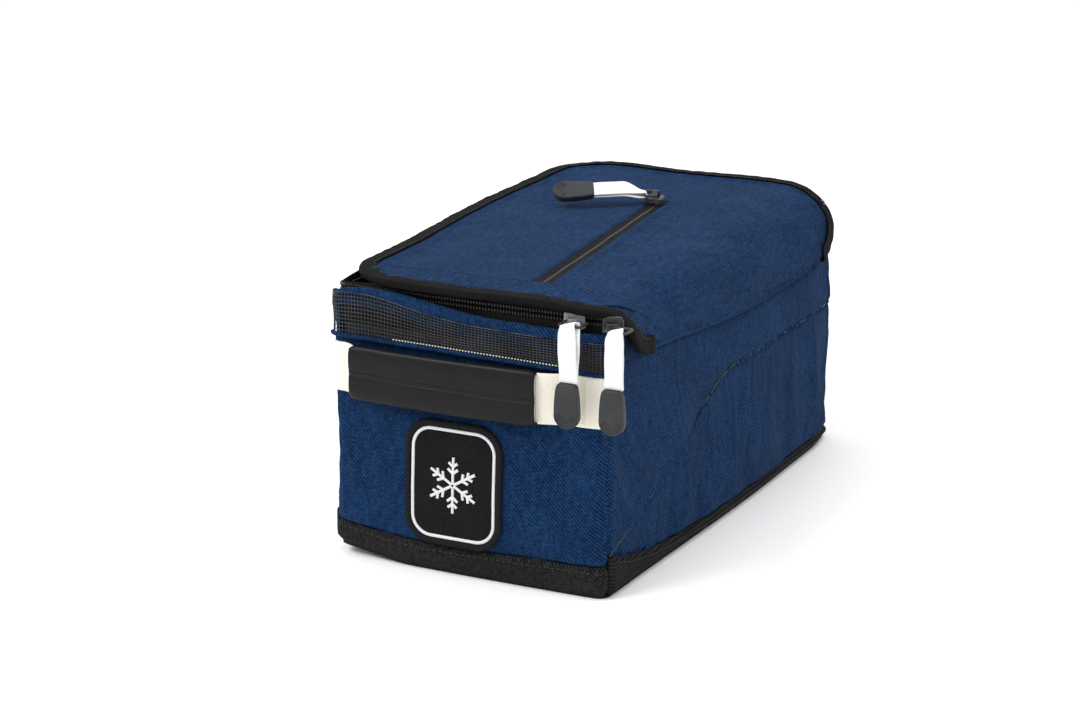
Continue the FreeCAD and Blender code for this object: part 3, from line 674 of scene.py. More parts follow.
class Paint:
    """A material under construction."""

    def __init__(self, name):
        self.material = bpy.data.materials.new(name)
        self.material.use_nodes = True
        self.tree = self.material.node_tree
        self.tree.nodes.clear()

    def node(self, kind, settings=None, values=None, output=0):
        made = self.tree.nodes.new(kind)
        for key, value in (settings or {}).items():
            setattr(made, key, value)
        for key, value in (values or {}).items():
            if isinstance(value, Value):
                self.tree.links.new(value.socket, made.inputs[key])
            else:
                made.inputs[key].default_value = value
        return Value(self, made.outputs[output])

    def cloth(self):
        """Where a point is along and across the cloth, in metres."""
        split = self.node("ShaderNodeSeparateXYZ", None, {0: self.node("ShaderNodeUVMap")})
        return split, Value(self, split.socket.node.outputs[1])

    def place(self):
        return self.node("ShaderNodeTexCoord", None, None, "Object")

    def noise(self, where, scale, detail=2.0, rough=0.5):
        return self.node("ShaderNodeTexNoise", {"noise_dimensions": "3D"},
                         {"Vector": where, "Scale": scale, "Detail": detail, "Roughness": rough})

    def vector(self, x, y, z=0.0):
        return self.node("ShaderNodeCombineXYZ", None, {0: x, 1: y, 2: z})

    def mix(self, share, first, second):
        return self.node("ShaderNodeMix", {"data_type": "RGBA"}, {0: share, 6: first, 7: second}, 2)

    def finish(self, colour, roughness, height=None, relief=0.0, **fixed):
        values = {"Base Color": colour, "Roughness": roughness}
        values.update({key.replace("_", " "): value for key, value in fixed.items()})
        if height is not None:
            values["Normal"] = self.node("ShaderNodeBump", None, {
                "Strength": 1.0, "Distance": relief * MM, "Height": height})
        surface = self.node("ShaderNodeBsdfPrincipled", None, values)
        shown = self.tree.nodes.new("ShaderNodeOutputMaterial")
        self.tree.links.new(surface.socket, shown.inputs[0])
        return self.material


def rgb(red, green, blue):
    return (red, green, blue, 1.0)


def twill(name, dark, light, pitch, relief=0.22, rough=0.85, slope=1.0, sheen=0.02, worn=0.22):
    """Woven cloth with a diagonal: two threads of different colour that cross."""
    p = Paint(name)
    u, v = p.cloth()
    turn = math.pi / (pitch * MM)
    warp, weft = (u * turn).sin().abs(), (v * turn).sin().abs()
    over = ((u + v * slope) * turn).sin().ease(-0.45, 0.45)
    height = over * warp + (1 - over) * weft
    slub = p.noise(p.vector(u * 0.35, v), 900.0 / pitch, 2.0)
    slub_across = p.noise(p.vector(u, v * 0.3, 0.4), 760.0 / pitch, 2.0)
    cloud = p.noise(p.vector(u, v), 26.0, 3.0)
    share = over * 0.42 + (slub - 0.5) * 1.1 + (slub_across - 0.5) * 0.9 + (cloud - 0.5) * worn * 2
    share = (share + 0.18).ease(0.0, 1.0)
    colour = p.mix(share, dark, light)
    return p.finish(colour, rough, height + (slub - 0.5) * 0.8, relief, Sheen_Weight=sheen,
                    Sheen_Roughness=0.5, Specular_IOR_Level=0.03)


def ribbed(name, dark, light, pitch, relief=0.3, rough=0.8, across=False, sheen=0.0, gloss=0.06):
    """Ribbed tape or cloth: rows of thread along one direction of the cloth."""
    p = Paint(name)
    u, v = p.cloth()
    along, side = (v, u) if across else (u, v)
    rib = (side * (math.pi / (pitch * MM))).sin().abs()
    thread = (along * (math.pi / (pitch * 0.55 * MM))).sin().abs()
    grain = p.noise(p.vector(u, v), 1400.0 / pitch, 2.0)
    cloud = p.noise(p.vector(u, v), 40.0, 3.0)
    share = (rib * 0.45 + thread * 0.15 + (grain - 0.5) * 0.7 + (cloud - 0.5) * 0.5).ease(0.0, 1.0)
    colour = p.mix(share, dark, light)
    return p.finish(colour, rough, rib * 0.75 + thread * 0.25 + grain * 0.3, relief,
                    Sheen_Weight=sheen, Specular_IOR_Level=gloss)


def satin(name, base, worn, scale, relief=0.1, rough=0.42, coat=0.0, gloss=0.5):
    """Smooth skin, rubber or enamel with a fine grain and a little wear."""
    p = Paint(name)
    where = p.place()
    grain = p.noise(where, scale, 3.0, 0.6)
    cloud = p.noise(where, 60.0, 3.0)
    colour = p.mix((cloud * 0.6 + grain * 0.4).ease(0.35, 0.75), base, worn)
    roughness = (cloud - 0.5) * 0.25 + rough
    return p.finish(colour, roughness, grain, relief, Coat_Weight=coat, Specular_IOR_Level=gloss)


def thread(name, base, shade, pitch, rough=0.5):
    """Satin stitch: threads side by side across a line."""
    p = Paint(name)
    u, v = p.cloth()
    strand = (u * (math.pi / (pitch * MM))).sin().abs()
    grain = p.noise(p.vector(u, v * 0.2), 3000.0, 2.0)
    colour = p.mix((strand + (grain - 0.5) * 0.8).ease(0.0, 0.9), shade, base)
    return p.finish(colour, rough, strand, 0.18, Specular_IOR_Level=0.1)


def paints():
    """All the finishes of the bag by name."""
    look = bpy.context.scene.kit_bag_looks
    navy_light, navy_dark = tuple(look.navy_light), tuple(look.navy_dark)
    cream, white, black = tuple(look.cream), tuple(look.ribbon), tuple(look.black)
    return {
        "navy": twill("navy_cloth", navy_dark, navy_light, look.weave_pitch / MM),
        "black_twill": twill("black_cloth", rgb(0.005, 0.005, 0.0055),
                             rgb(0.030, 0.030, 0.0305), 1.0, sheen=0.02),
        "black_rib": ribbed("black_ribbed_cloth", rgb(0.004, 0.004, 0.0045),
                            rgb(0.026, 0.026, 0.0265), 1.9, relief=0.5),
        "lining": twill("lining_cloth", rgb(0.022, 0.023, 0.026), rgb(0.06, 0.062, 0.07), 0.6,
                        relief=0.1),
        "binding": ribbed("binding_tape", rgb(0.0022, 0.0022, 0.0025),
                          rgb(0.012, 0.0118, 0.0118), 0.8, relief=0.22),
        "tape": ribbed("zip_tape", rgb(0.004, 0.004, 0.0045), rgb(0.02, 0.02, 0.021), 0.9,
                       relief=0.2),
        "coil": satin("zip_coil", rgb(0.006, 0.006, 0.007), rgb(0.02, 0.02, 0.021), 2500.0,
                      rough=0.32),
        "net": satin("vent_net", black, rgb(0.045, 0.046, 0.05), 1800.0, rough=0.36),
        "cream": ribbed("cream_webbing", tuple(c * k for c, k in zip(cream, (0.84, 0.82, 0.76, 1))),
                        cream, 0.9, relief=0.22, rough=0.75, gloss=0.2),
        "ribbon": ribbed("white_ribbon", tuple(c * k for c, k in zip(white, (0.80, 0.80, 0.79, 1))),
                         white, 1.0, relief=0.2, rough=0.7, gloss=0.35),
        "sleeve": satin("sleeve_skin", rgb(0.0035, 0.0034, 0.0035),
                        rgb(0.0065, 0.0062, 0.0062), 900.0, relief=0.07, rough=0.42, gloss=0.16),
        "sleeve_thread": satin("sleeve_thread", rgb(0.003, 0.003, 0.003), rgb(0.012, 0.012, 0.012),
                               3000.0, rough=0.6),
        "badge": twill("badge_cloth", rgb(0.002, 0.002, 0.0022), rgb(0.010, 0.010, 0.0105), 0.7,
                       relief=0.2, sheen=0.08),
        "merrow": thread("badge_edge_thread", rgb(0.010, 0.010, 0.011), rgb(0.002, 0.002, 0.002),
                         0.8, 0.7),
        "white_thread": thread("white_thread", rgb(0.82, 0.83, 0.84), rgb(0.45, 0.46, 0.48), 0.45),
        "navy_thread": thread("navy_thread", rgb(0.02, 0.045, 0.12), rgb(0.008, 0.02, 0.06), 0.5),
        "black_thread": satin("black_thread", rgb(0.006, 0.006, 0.006), rgb(0.022, 0.022, 0.022),
                              3000.0, rough=0.6),
        "light_thread": satin("light_thread", rgb(0.52, 0.53, 0.38), rgb(0.70, 0.70, 0.56), 3000.0,
                              rough=0.6),
        "enamel": satin("slider_enamel", rgb(0.016, 0.016, 0.017), rgb(0.05, 0.05, 0.052), 700.0,
                        relief=0.03, rough=0.35, gloss=0.25),
        # a lighter grey copy of the black slider enamel: a painted highlight for the left slider, where
        # it catches the light
        "highlight_grey": satin("slider_highlight_grey", rgb(0.10, 0.10, 0.105), rgb(0.22, 0.22, 0.23), 700.0,
                       relief=0.03, rough=0.35, coat=0.2),
        "rubber": satin("grip_rubber", rgb(0.014, 0.015, 0.017), rgb(0.028, 0.030, 0.033), 2600.0,
                        relief=0.10, rough=0.5, gloss=0.3),
        "board": satin("board", rgb(0.03, 0.03, 0.03), rgb(0.05, 0.05, 0.05), 300.0),
    }


PAINTS = {}


# ---------------------------------------------------------------- properties

def colour(name, description, default):
    return bpy.props.FloatVectorProperty(name=name, description=description, subtype="COLOR",
                                         size=4, min=0, max=1, default=default)


def length(name, description, default):
    return bpy.props.FloatProperty(name=name, description=description, default=default * MM,
                                   unit="LENGTH", subtype="DISTANCE")


class KitBagLooks(bpy.types.PropertyGroup):
    """Colours and cloth sizes of the bag."""

    navy_light: colour("Navy, light thread", "The lighter thread of the navy cloth",
                       (0.0105, 0.045, 0.128, 1))
    navy_dark: colour("Navy, dark thread", "The darker thread of the navy cloth",
                      (0.0028, 0.0108, 0.034, 1))
    cream: colour("Cream webbing", "The handle's webbing", (0.90, 0.88, 0.80, 1))
    ribbon: colour("Ribbon", "The zip pulls' ribbon", (0.86, 0.86, 0.85, 1))
    black: colour("Net", "The vent's plastic net", (0.012, 0.012, 0.013, 1))
    weave_pitch: length("Weave pitch", "Width of one thread of the navy cloth", 1.05)
    vent_cell: length("Vent cell", "Width of one cell of the vent's net", 1.85)
    vent_strand: length("Vent strand", "Thickness of a strand of the vent's net", 0.62)
    stitch_pitch: length("Stitch pitch", "Length of one stitch with its gap", 3.2)
    tooth_pitch: length("Tooth pitch", "Distance between the teeth of the main zip", 1.6)


# ---------------------------------------------------------------- body

def seam_stitches(name, s_values, height, out=0.25, paint="navy_thread"):
    """A row of stitches on the wall along a line of heights."""
    z = height(s_values)
    points = wall(s_values, z, out)
    ahead = np.gradient(points, axis=0)
    _, _, _, nx, ny = outline(s_values)
    up = np.stack((nx, ny, 0 * nx), -1)
    return beads(name, points, ahead, up, 2.3, 0.55, 0.5)


def even(start, end, pitch):
    """Evenly spaced distances, each in the middle of its own step."""
    count = int(abs(end - start) / pitch)
    return start + (end - start) * (np.arange(count) + 0.5) / count


def floor_sheet(name, z, inset, columns, rows, flip):
    """A level sheet inside the body's outline."""
    def place(u, v):
        y = (HALF_LENGTH - inset) * (2 * dense(v, 0.8) - 1)
        near = np.clip((np.abs(y) - FLAT_Y) / (ROUND - inset), 0, 1)
        half = FLAT_X + (ROUND - inset) * np.sqrt(1 - near**2) + side_puff(y, np.zeros_like(y))
        x = half * (2 * u - 1)
        puff = end_puff(x, y, np.zeros_like(y)) * np.sign(y)
        puff = puff * smooth(FLAT_Y - 40, FLAT_Y, np.abs(y))
        return np.stack((x, y + puff, z + corner_lift(x, y)), -1), np.stack((x, y), -1)
    return sewn(grid(name, columns, rows, place, flip=flip))


def make_walls():
    """The cloth panels of the body."""
    navy = PAINTS["navy"]
    front = panel("front_panel_cloth", -CORNER_SEAM, CORNER_SEAM, band_top, vent_foot, 150, 100)
    trims = [(low(node) + (0, -9, 0), high(node) + (0, 9, 0))
             for node in ("badge_backing", "handle_left_tab", "handle_right_tab")]
    settled(front, held(trims, 1.0), 0.016, 1.5)
    rides(thick(front, CLOTH), "bag", "navy_cloth", navy, "front_panel")
    for side, sign in (("left", -1), ("right", 1)):
        ends = sorted((sign * CORNER_SEAM, sign * BACK_SEAM))
        lower = panel(f"{side}_side_lower_cloth", *ends, band_top, pocket_seam, 220, 60,
                      out=-0.7)
        settled(lower, held([]), 0.018)
        rides(thick(lower, CLOTH), "bag", "navy_cloth", navy, f"{side}_side_lower_panel")
        top, seams = (rim, "lrd") if side == "left" else (lid_seam, "lrdu")
        upper = panel(f"{side}_side_upper_cloth", *ends, pocket_seam, top, 220, 80, seams=seams)
        settled(upper, held([]), 0.018, 1.4)
        rides(thick(upper, CLOTH), "bag", "navy_cloth", navy, f"{side}_side_upper_panel")
    reach = FLAT_X + QUARTER + FLAT_Y - 109
    back = FLAT_X + QUARTER + FLAT_Y + 109
    for name, ends, seams in (("front_right_corner", (CORNER_SEAM, reach), "l"),
                              ("back_right_corner", (back, BACK_SEAM), "r")):
        corner = panel(f"{name}_cloth", *ends, lid_seam, raised_corner, 40, 24, seams=seams)
        rides(thick(corner, CLOTH), "bag", "navy_cloth", navy, name)
    rear = panel("back_panel_cloth", BACK_SEAM, 2 * HALF_ROUND - BACK_SEAM, band_top, rim, 130, 100,
                 seams="lrd")
    settled(rear, held([]), 0.016)
    rides(thick(rear, CLOTH), "bag", "navy_cloth", navy, "back_panel")


def make_seam_shadow_lines():
    """A black tube sunk into the sides' curved seams: a painted shadow along each seam's groove."""
    for side, sign in (("left", -1), ("right", 1)):
        s = sign * np.linspace(CORNER_SEAM + 1, BACK_SEAM - 1, 220)
        line = wall(s, pocket_seam(s), -1.9)
        _, _, _, nx, ny = outline(s)
        up = np.stack((nx, ny, 0 * nx), -1)
        seam = tube(f"{side}_side_seam_shadow_line", frames(line, up), ring(0.55, 0.5, 8), closed=True)
        # the black thread colour on this tube paints the seam's shadow; the tube is no real part
        rides(seam, "bag", "navy_cloth", PAINTS["black_thread"])


def make_bands():
    """The black bands round the foot, the panel under the bag and the seams' stitches."""
    runs = {"front": (-CORNER_SEAM, CORNER_SEAM), "back": (BACK_SEAM, 2 * HALF_ROUND - BACK_SEAM),
            "right": (CORNER_SEAM, BACK_SEAM), "left": (-BACK_SEAM, -CORNER_SEAM)}
    for side, ends in runs.items():
        paint = PAINTS["black_rib" if side in ("left", "right") else "black_twill"]
        foot = lambda s: np.zeros_like(s) + 0.05
        band = panel(f"{side}_band_cloth", *ends, foot, band_top, 170, 18, out=0.9, seams="lru")
        rides(thick(band, 1.0), "bag", "black_cloth", paint, f"{side}_base_band")
    base = floor_sheet("base_cloth", 0.05, 2.4, 60, 90, True)
    rides(thick(base, 1.0), "bag", "black_cloth", PAINTS["black_twill"], "base_panel")
    board = floor_sheet("base_board_sheet", 3.4, 4.0, 20, 30, False)
    rides(thick(board, 1.6), "bag", "board", PAINTS["board"], "base_board")
    rows = []
    pitch = bpy.context.scene.kit_bag_looks.stitch_pitch / MM
    for number, ends in enumerate(runs.values()):
        s = even(ends[0] + 4, ends[1] - 4, pitch)
        rows.append(seam_stitches(f"band_row_{number}", s, lambda q: band_top(q) - 2.6, 1.0))
    stitches = joined("band_stitches", rows)
    rides(stitches, "bag", "black_cloth", PAINTS["black_thread"])


def make_rim():
    """The strip above the vent, the cloth turned in over the rim and the piping."""
    navy = PAINTS["navy"]

    def strip(u, v):
        s = -CORNER_SEAM + 2 * CORNER_SEAM * dense(u, 0.3)
        foot, top, radius = vent_head(s), strip_top(s), 1.7
        rise = np.maximum(top - radius - foot, 0.5)
        length = rise + math.pi * radius + rise + 6
        far = v * length
        turn = np.clip((far - rise) / radius, 0, math.pi)
        back = np.maximum(far - rise - math.pi * radius, 0)
        z = foot + np.minimum(far, rise) + radius * np.sin(turn) - back
        out = 0.7 - radius * (1 - np.cos(turn)) - 0.08 * back
        out = out + 0.8 * ripple(s, far, 13, 11) * smooth(0, 2, far)
        out = out - 1.0 * np.exp(-(far / 1.2) ** 2)
        return wall(s, z, out), np.stack((s, far), -1)

    top = applied(thick(sewn(grid("front_top_cloth", 150, 34, strip)), 0.9))
    rides(top, "bag", "navy_cloth", navy, "front_top_strip")
    yields(top)

    def facing(u, v):
        s = -CORNER_SEAM + (-(2 * HALF_ROUND - BACK_SEAM) + CORNER_SEAM) * u
        radius, drop = 2.2, 11.0
        top = rim(s) - radius
        far = v * (3 + math.pi * radius + drop)
        turn = np.clip((far - 3) / radius, 0, math.pi)
        back = np.maximum(far - 3 - math.pi * radius, 0)
        z = top - 3 + np.minimum(far, 3) + radius * np.sin(turn) - back
        out = 0.5 - radius * (1 - np.cos(turn))
        return wall(s, z, out), np.stack((s, far), -1)

    rides(thick(sewn(grid("rim_cloth", 330, 22, facing, flip=True)), 0.9), "bag", "navy_cloth", navy,
          "rim_facing")

    s = np.linspace(-CORNER_SEAM + 1, CORNER_SEAM - 1, 150)
    line = wall(s, vent_foot(s) - 0.8, 0.7)
    piping = tube("vent_piping_cloth", frames(line, (0, -1, 0)), ring(1.15, 1.15, 12), closed=True)
    rides(piping, "bag", "navy_cloth", navy, "vent_piping")


def yields(thing):
    """Give the piece a copy of its mesh of its own."""
    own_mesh(thing)


def make_vent():
    """The net of the vent and the light stitches along its foot."""
    look = bpy.context.scene.kit_bag_looks
    cell, strand = look.vent_cell / MM, look.vent_strand / MM
    ends = (-CORNER_SEAM + 1.0, CORNER_SEAM - 1.0)

    def place(u, v):
        s = ends[0] + (ends[1] - ends[0]) * u
        bottom, top = vent_foot(s) - 0.3, vent_head(s) + 0.8
        z = bottom + (top - bottom) * v
        return wall(s, z, 0.15 + 0.25 * ripple(s, z, 17, 21)), np.stack((s, z), -1)

    net = grid("vent_net", int((ends[1] - ends[0]) / cell), 11, place)
    lattice = net.modifiers.new("Strands", "WIREFRAME")
    lattice.thickness = strand * MM
    lattice.use_even_offset = False
    lattice.use_boundary = True
    rides(applied(net), "bag", "vent_net", PAINTS["net"], "vent_mesh")
    yields(net)

    s = even(-40, 57, 1.65)
    points = wall(s, vent_foot(s) + 1.0, 0.75)
    ahead = np.gradient(points, axis=0)
    stitches = beads("vent_braid_stitches", points, ahead, np.tile((0, -1.0, 0), (len(s), 1)),
                     1.15, 0.85, 0.6)
    rides(stitches, "bag", "light_thread", PAINTS["light_thread"], "vent_braid")


def make_lining():
    """The lining inside the body."""
    def head(s):
        q, y = outline(s)[0], place_y(s)
        right = (q > CORNER_SEAM) & (q < BACK_SEAM)
        corner = smooth(106, 136, np.abs(y))
        on_right = lid_seam(s) - 1.5 + (RIM - lid_seam(s)) * corner
        front = np.minimum(strip_top(s), RIM + 4) - 4
        return np.where(right, on_right, np.where(np.abs(q) <= CORNER_SEAM, front, RIM - 3))

    def place(u, v):
        s = -HALF_ROUND + 2 * HALF_ROUND * u
        z = 4.6 + (head(s) - 4.6) * v
        out = -4.4 - 2.2 * smooth(108, 117, z) - 1.2 * (1 - smooth(4.6, 12, z))
        out = out + 0.35 * ripple(s, z, 40, 31)
        return wall(s, z, out), np.stack((s, z), -1)

    sides = sewn(grid("lining_sides", 300, 40, place, flip=True, merge=True))
    floor = floor_sheet("lining_floor", 4.6, 7.4, 50, 70, False)
    for lining in (sides, floor):
        rides(thick(lining, 0.5), "bag", "lining_cloth", PAINTS["lining"], "body_lining")


# ---------------------------------------------------------------- lid

def lid_normal(t, y):
    """Which way the lid's outside faces."""
    step = 0.5
    across = lid(t + step, y) - lid(t - step, y)
    along = lid(t, y + step) - lid(t, y - step)
    up = np.cross(across, along)
    return up / np.linalg.norm(up, axis=1)[:, None]


def make_lid():
    """The lid's cloth, its front band, its binding, its lining and their stitches."""
    navy = PAINTS["navy"]

    def top(u, v):
        y = LID_FRONT + 0.6 + (LID_BACK - LID_FRONT - 1.2) * dense(v, 0.7)
        left, right = lid_ends(y)
        t = left + (right - left) * dense(u, 0.4)
        seam = np.exp(-((lid_seam_t(y) - t) / SEAM_ROLL) ** 2)
        x = np.minimum(t, 90)
        inside = smooth(-124.5, -122.5, y) * (1 - smooth(66, 68, y))
        slit = (1 - smooth(4.7, 5.5, np.abs(x - zip_line(y)))) * inside
        lip = hump(np.abs(x - zip_line(y)), 6.3, 1.3) * inside
        return lid(t, y, 0.5 * lip - SEAM_DEPTH * seam - 1.5 * slit), np.stack((t, y), -1)

    cloth = sewn(grid("lid_cloth", 190, 238, top))

    def trimmed(points):
        x, y, z = points.T
        slit = (np.abs(x - zip_line(y)) < 9) & (np.abs(y + 28) < 98) & (z > RIM)
        left, right = lid_ends(y)
        bound_edge = (x < left + 11) | (y < LID_FRONT + 28) | (y > LID_BACK - 10)
        return slit | bound_edge | (z < lid_seam_at(y) + 3)

    settled(cloth, trimmed, 0.012, 1.3)
    thick(cloth, LID_CLOTH)
    blended(applied(cloth), "navy_cloth", navy, "lid_panel")

    def band(u, v):
        y = LID_FRONT + 7.5 + 18.5 * v
        left, right = lid_ends(y)
        t = left + 6 + (right - left - 12 - 14) * u
        edge = np.minimum(v * 18.5, (1 - v) * 18.5)
        return lid(t, y, 0.9 * smooth(-0.4, 1.0, edge) + 0.15), np.stack((t, y + 300), -1)

    fold = sewn(grid("lid_front_band_cloth", 150, 24, band))
    rides(thick(fold, 0.7), "lid", "navy_cloth", navy, "lid_front_band")

    points, inward, far = lid_edge()
    width, half = 8.2, LID_CLOTH / 2 + 0.75
    arc = np.linspace(math.pi / 2, -math.pi / 2, 7)
    section = [(width, half), (width * 0.75, half + 0.1), (width * 0.4, half + 0.15)]
    section += [(0.4 - 1.2 * math.cos(a), (half + 0.1) * math.sin(a)) for a in arc]
    section += [(width * 0.4, -half - 0.15), (width * 0.75, -half - 0.1), (width, -half)]
    section = np.array(section)

    def bound(u, v):
        i = np.rint(u * (len(points) - 1)).astype(int)
        j = np.rint(v * (len(section) - 1)).astype(int)
        at = points[i] + inward[i] * section[j][:, :1]
        n = lid_normal(*at.T)
        rumple = 0.22 * ripple(far[i], section[j][:, 0], 11, 41)
        where = lid(*at.T) + n * (section[j][:, 1] - LID_CLOTH / 2 + rumple)[:, None]
        return where, np.stack((far[i], j * 1.3), -1)

    binding = grid("lid_binding_tape", len(points) - 1, len(section) - 1, bound)
    thick(binding, 0.45, offset=0)
    blended(applied(binding), "binding", PAINTS["binding"], "lid_binding")

    at, into, _ = lid_edge(step=3.0)
    at = at[2:-2] + into[2:-2] * BINDING_STITCHES
    n = lid_normal(*at.T)
    where = lid(*at.T) + n * 0.95
    stitches = beads("lid_binding_stitches", where, np.gradient(where, axis=0), n, 2.1, 0.5, 0.45)
    blended(stitches, "binding", PAINTS["black_thread"])

    t = even(lid_ends(np.array([LID_FRONT + BAND_STITCHES]))[0][0] + 12, 72, 3.2)
    y = np.full_like(t, LID_FRONT + BAND_STITCHES)
    where, n = lid(t, y, 1.15), lid_normal(t, y)
    rides(beads("lid_band_stitches", where, np.gradient(where, axis=0), n, 2.2, 0.5, 0.45), "lid",
          "navy_cloth", PAINTS["navy_thread"])

    def under(u, v):
        y = (low("lid_lining")[1] + 2) * (1 - 2 * v)
        left = np.maximum(lid_ends(y)[0] + 9, low("lid_lining")[0] + 3)
        t = left + (70 - left) * u
        return lid(t, y, -LID_CLOTH - 2.1), np.stack((t, y), -1)

    lining = sewn(grid("lid_lining_cloth", 60, 90, under, flip=True))
    rides(thick(lining, 0.4), "lid", "lining_cloth", PAINTS["lining"], "lid_lining")


def blended(thing, slot, paint, *nodes):
    """A piece of the lid, given its material and left fixed where it was built, in place of the solids
    that it stands for.
    """
    if not thing.data.materials:
        thing.data.materials.append(paint)
    x, _, z = joint("lid_hinge")["pos_m"]
    z - 0.004
    z + 0.012
    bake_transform(thing)
    if nodes:
        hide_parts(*nodes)
    return thing


# ---------------------------------------------------------------- zips

def make_main_zip():
    """The two halves of the main zip: tapes and rows of teeth."""
    highest = LID_TOP - LID_CLOTH - 1.2
    for name, body, z_low, z_high, node in (
            ("body_zip_tape_cloth", "bag", ZIP_MEETS - 17, ZIP_MEETS, "body_zip_tape"),
            ("lid_zip_tape_cloth", "lid", ZIP_MEETS + 0.4, highest, "lid_zip_tape")):
        def place(u, v):
            s = CORNER_SEAM - 2 + (-(2 * HALF_ROUND - BACK_SEAM) + 4 - CORNER_SEAM) * u
            spot = wall(s, np.full_like(s, z_low), -ZIP_INSET)
            top = np.minimum(z_high, under_lid(spot, 1.0))
            drop = np.minimum(0, under_lid(spot, ZIP_ROOM) - ZIP_MEETS)
            foot = z_low + np.minimum(drop, 0)
            top = np.minimum(top, z_high) if body == "lid" else np.full_like(s, z_high) + drop
            z = foot + (np.maximum(top, foot + 1) - foot) * v
            return wall(s, z, -ZIP_INSET + 0.25 * ripple(s, z, 30, 51)), np.stack((s, z), -1)
        tape = grid(name, 300, 8, place, flip=True)
        if body == "bag":
            sewn(tape)
        rides(thick(tape, 0.6, offset=0), body, "zip_tape", PAINTS["tape"], node)
    pitch = bpy.context.scene.kit_bag_looks.tooth_pitch / MM
    for name, body, z, node in (
            ("body_zip_teeth", "bag", ZIP_MEETS - 1.2, "body_zip_coil"),
            ("lid_zip_teeth", "lid", ZIP_MEETS + 1.6, "lid_zip_coil")):
        total = 2 * HALF_ROUND - BACK_SEAM + CORNER_SEAM - 8
        s = even(CORNER_SEAM - 4, CORNER_SEAM - 4 - total, pitch)
        points = wall(s, np.full_like(s, z), -ZIP_INSET + 0.9)
        covered = under_lid(points, ZIP_ROOM)
        points[:, 2] = np.minimum(points[:, 2], covered + z - ZIP_MEETS)
        _, _, _, nx, ny = outline(s)
        up = np.stack((nx, ny, 0 * nx), -1)
        teeth = beads(name, points, np.tile((0, 0, 1.0), (len(s), 1)), up, 2.6, 0.95, 1.5)
        rides(teeth, body, "zip_coil", PAINTS["coil"], node)


def make_pocket_zip():
    """The lid pocket's zip: two tapes, their teeth and the stops."""
    y0, y1 = -123.0, 66.5
    for side, sign in (("left", -1), ("right", 1)):
        def place(u, v):
            y = y0 + (y1 - y0) * v
            t = zip_line(y) + sign * (0.15 + 4.8 * u)
            return lid(t, y, -0.45 - 0.3 * (1 - smooth(0, 0.3, u))), np.stack((t, y), -1)
        tape = grid(f"pocket_{side}_tape_cloth", 8, 160, place, flip=sign < 0)
        rides(thick(tape, 0.5), "lid", "zip_tape", PAINTS["tape"], f"pocket_zip_{side}_tape")
    y = even(y0 + 2, y1 - 2, 1.5)
    t = zip_line(y)
    points, n = lid(t, y, -0.75), lid_normal(t, y)
    teeth = beads("pocket_zip_teeth", points, np.tile((1.0, 0, 0), (len(y), 1)), n, 2.2, 0.95, 0.7)
    rides(teeth, "lid", "zip_coil", PAINTS["coil"], "pocket_zip_coil")
    y = np.array([y0 + 1, y1 - 1])
    points, n = lid(zip_line(y), y, -0.5), lid_normal(zip_line(y), y)
    ahead = np.tile((1.0, 0, 0), (2, 1))
    stops = beads("pocket_zip_end_stops", points, ahead, n, 3.2, 2.0, 1.4, 12)
    rides(stops, "lid", "zip_coil", PAINTS["coil"], "pocket_zip_stops")


# ---------------------------------------------------------------- handle and badge

def strap(name, x_from, x_to, out_of, z_low, z_high, columns=40, rows=16, fray=0.0):
    """A flat strap across the front: out_of gives how far it stands off at each x."""
    def place(u, v):
        x = x_from + (x_to - x_from) * u
        z = z_low + (z_high - z_low) * v
        z = z + fray * 0.4 * ripple(x, 0 * x, 2.1, 61) * smooth(0.93, 1.0, v)
        where = wall(x, z, out_of(x) - 0.35 * (np.abs(2 * v - 1) ** 6))
        return where, np.stack((z, x), -1)
    return grid(name, columns, rows, place)


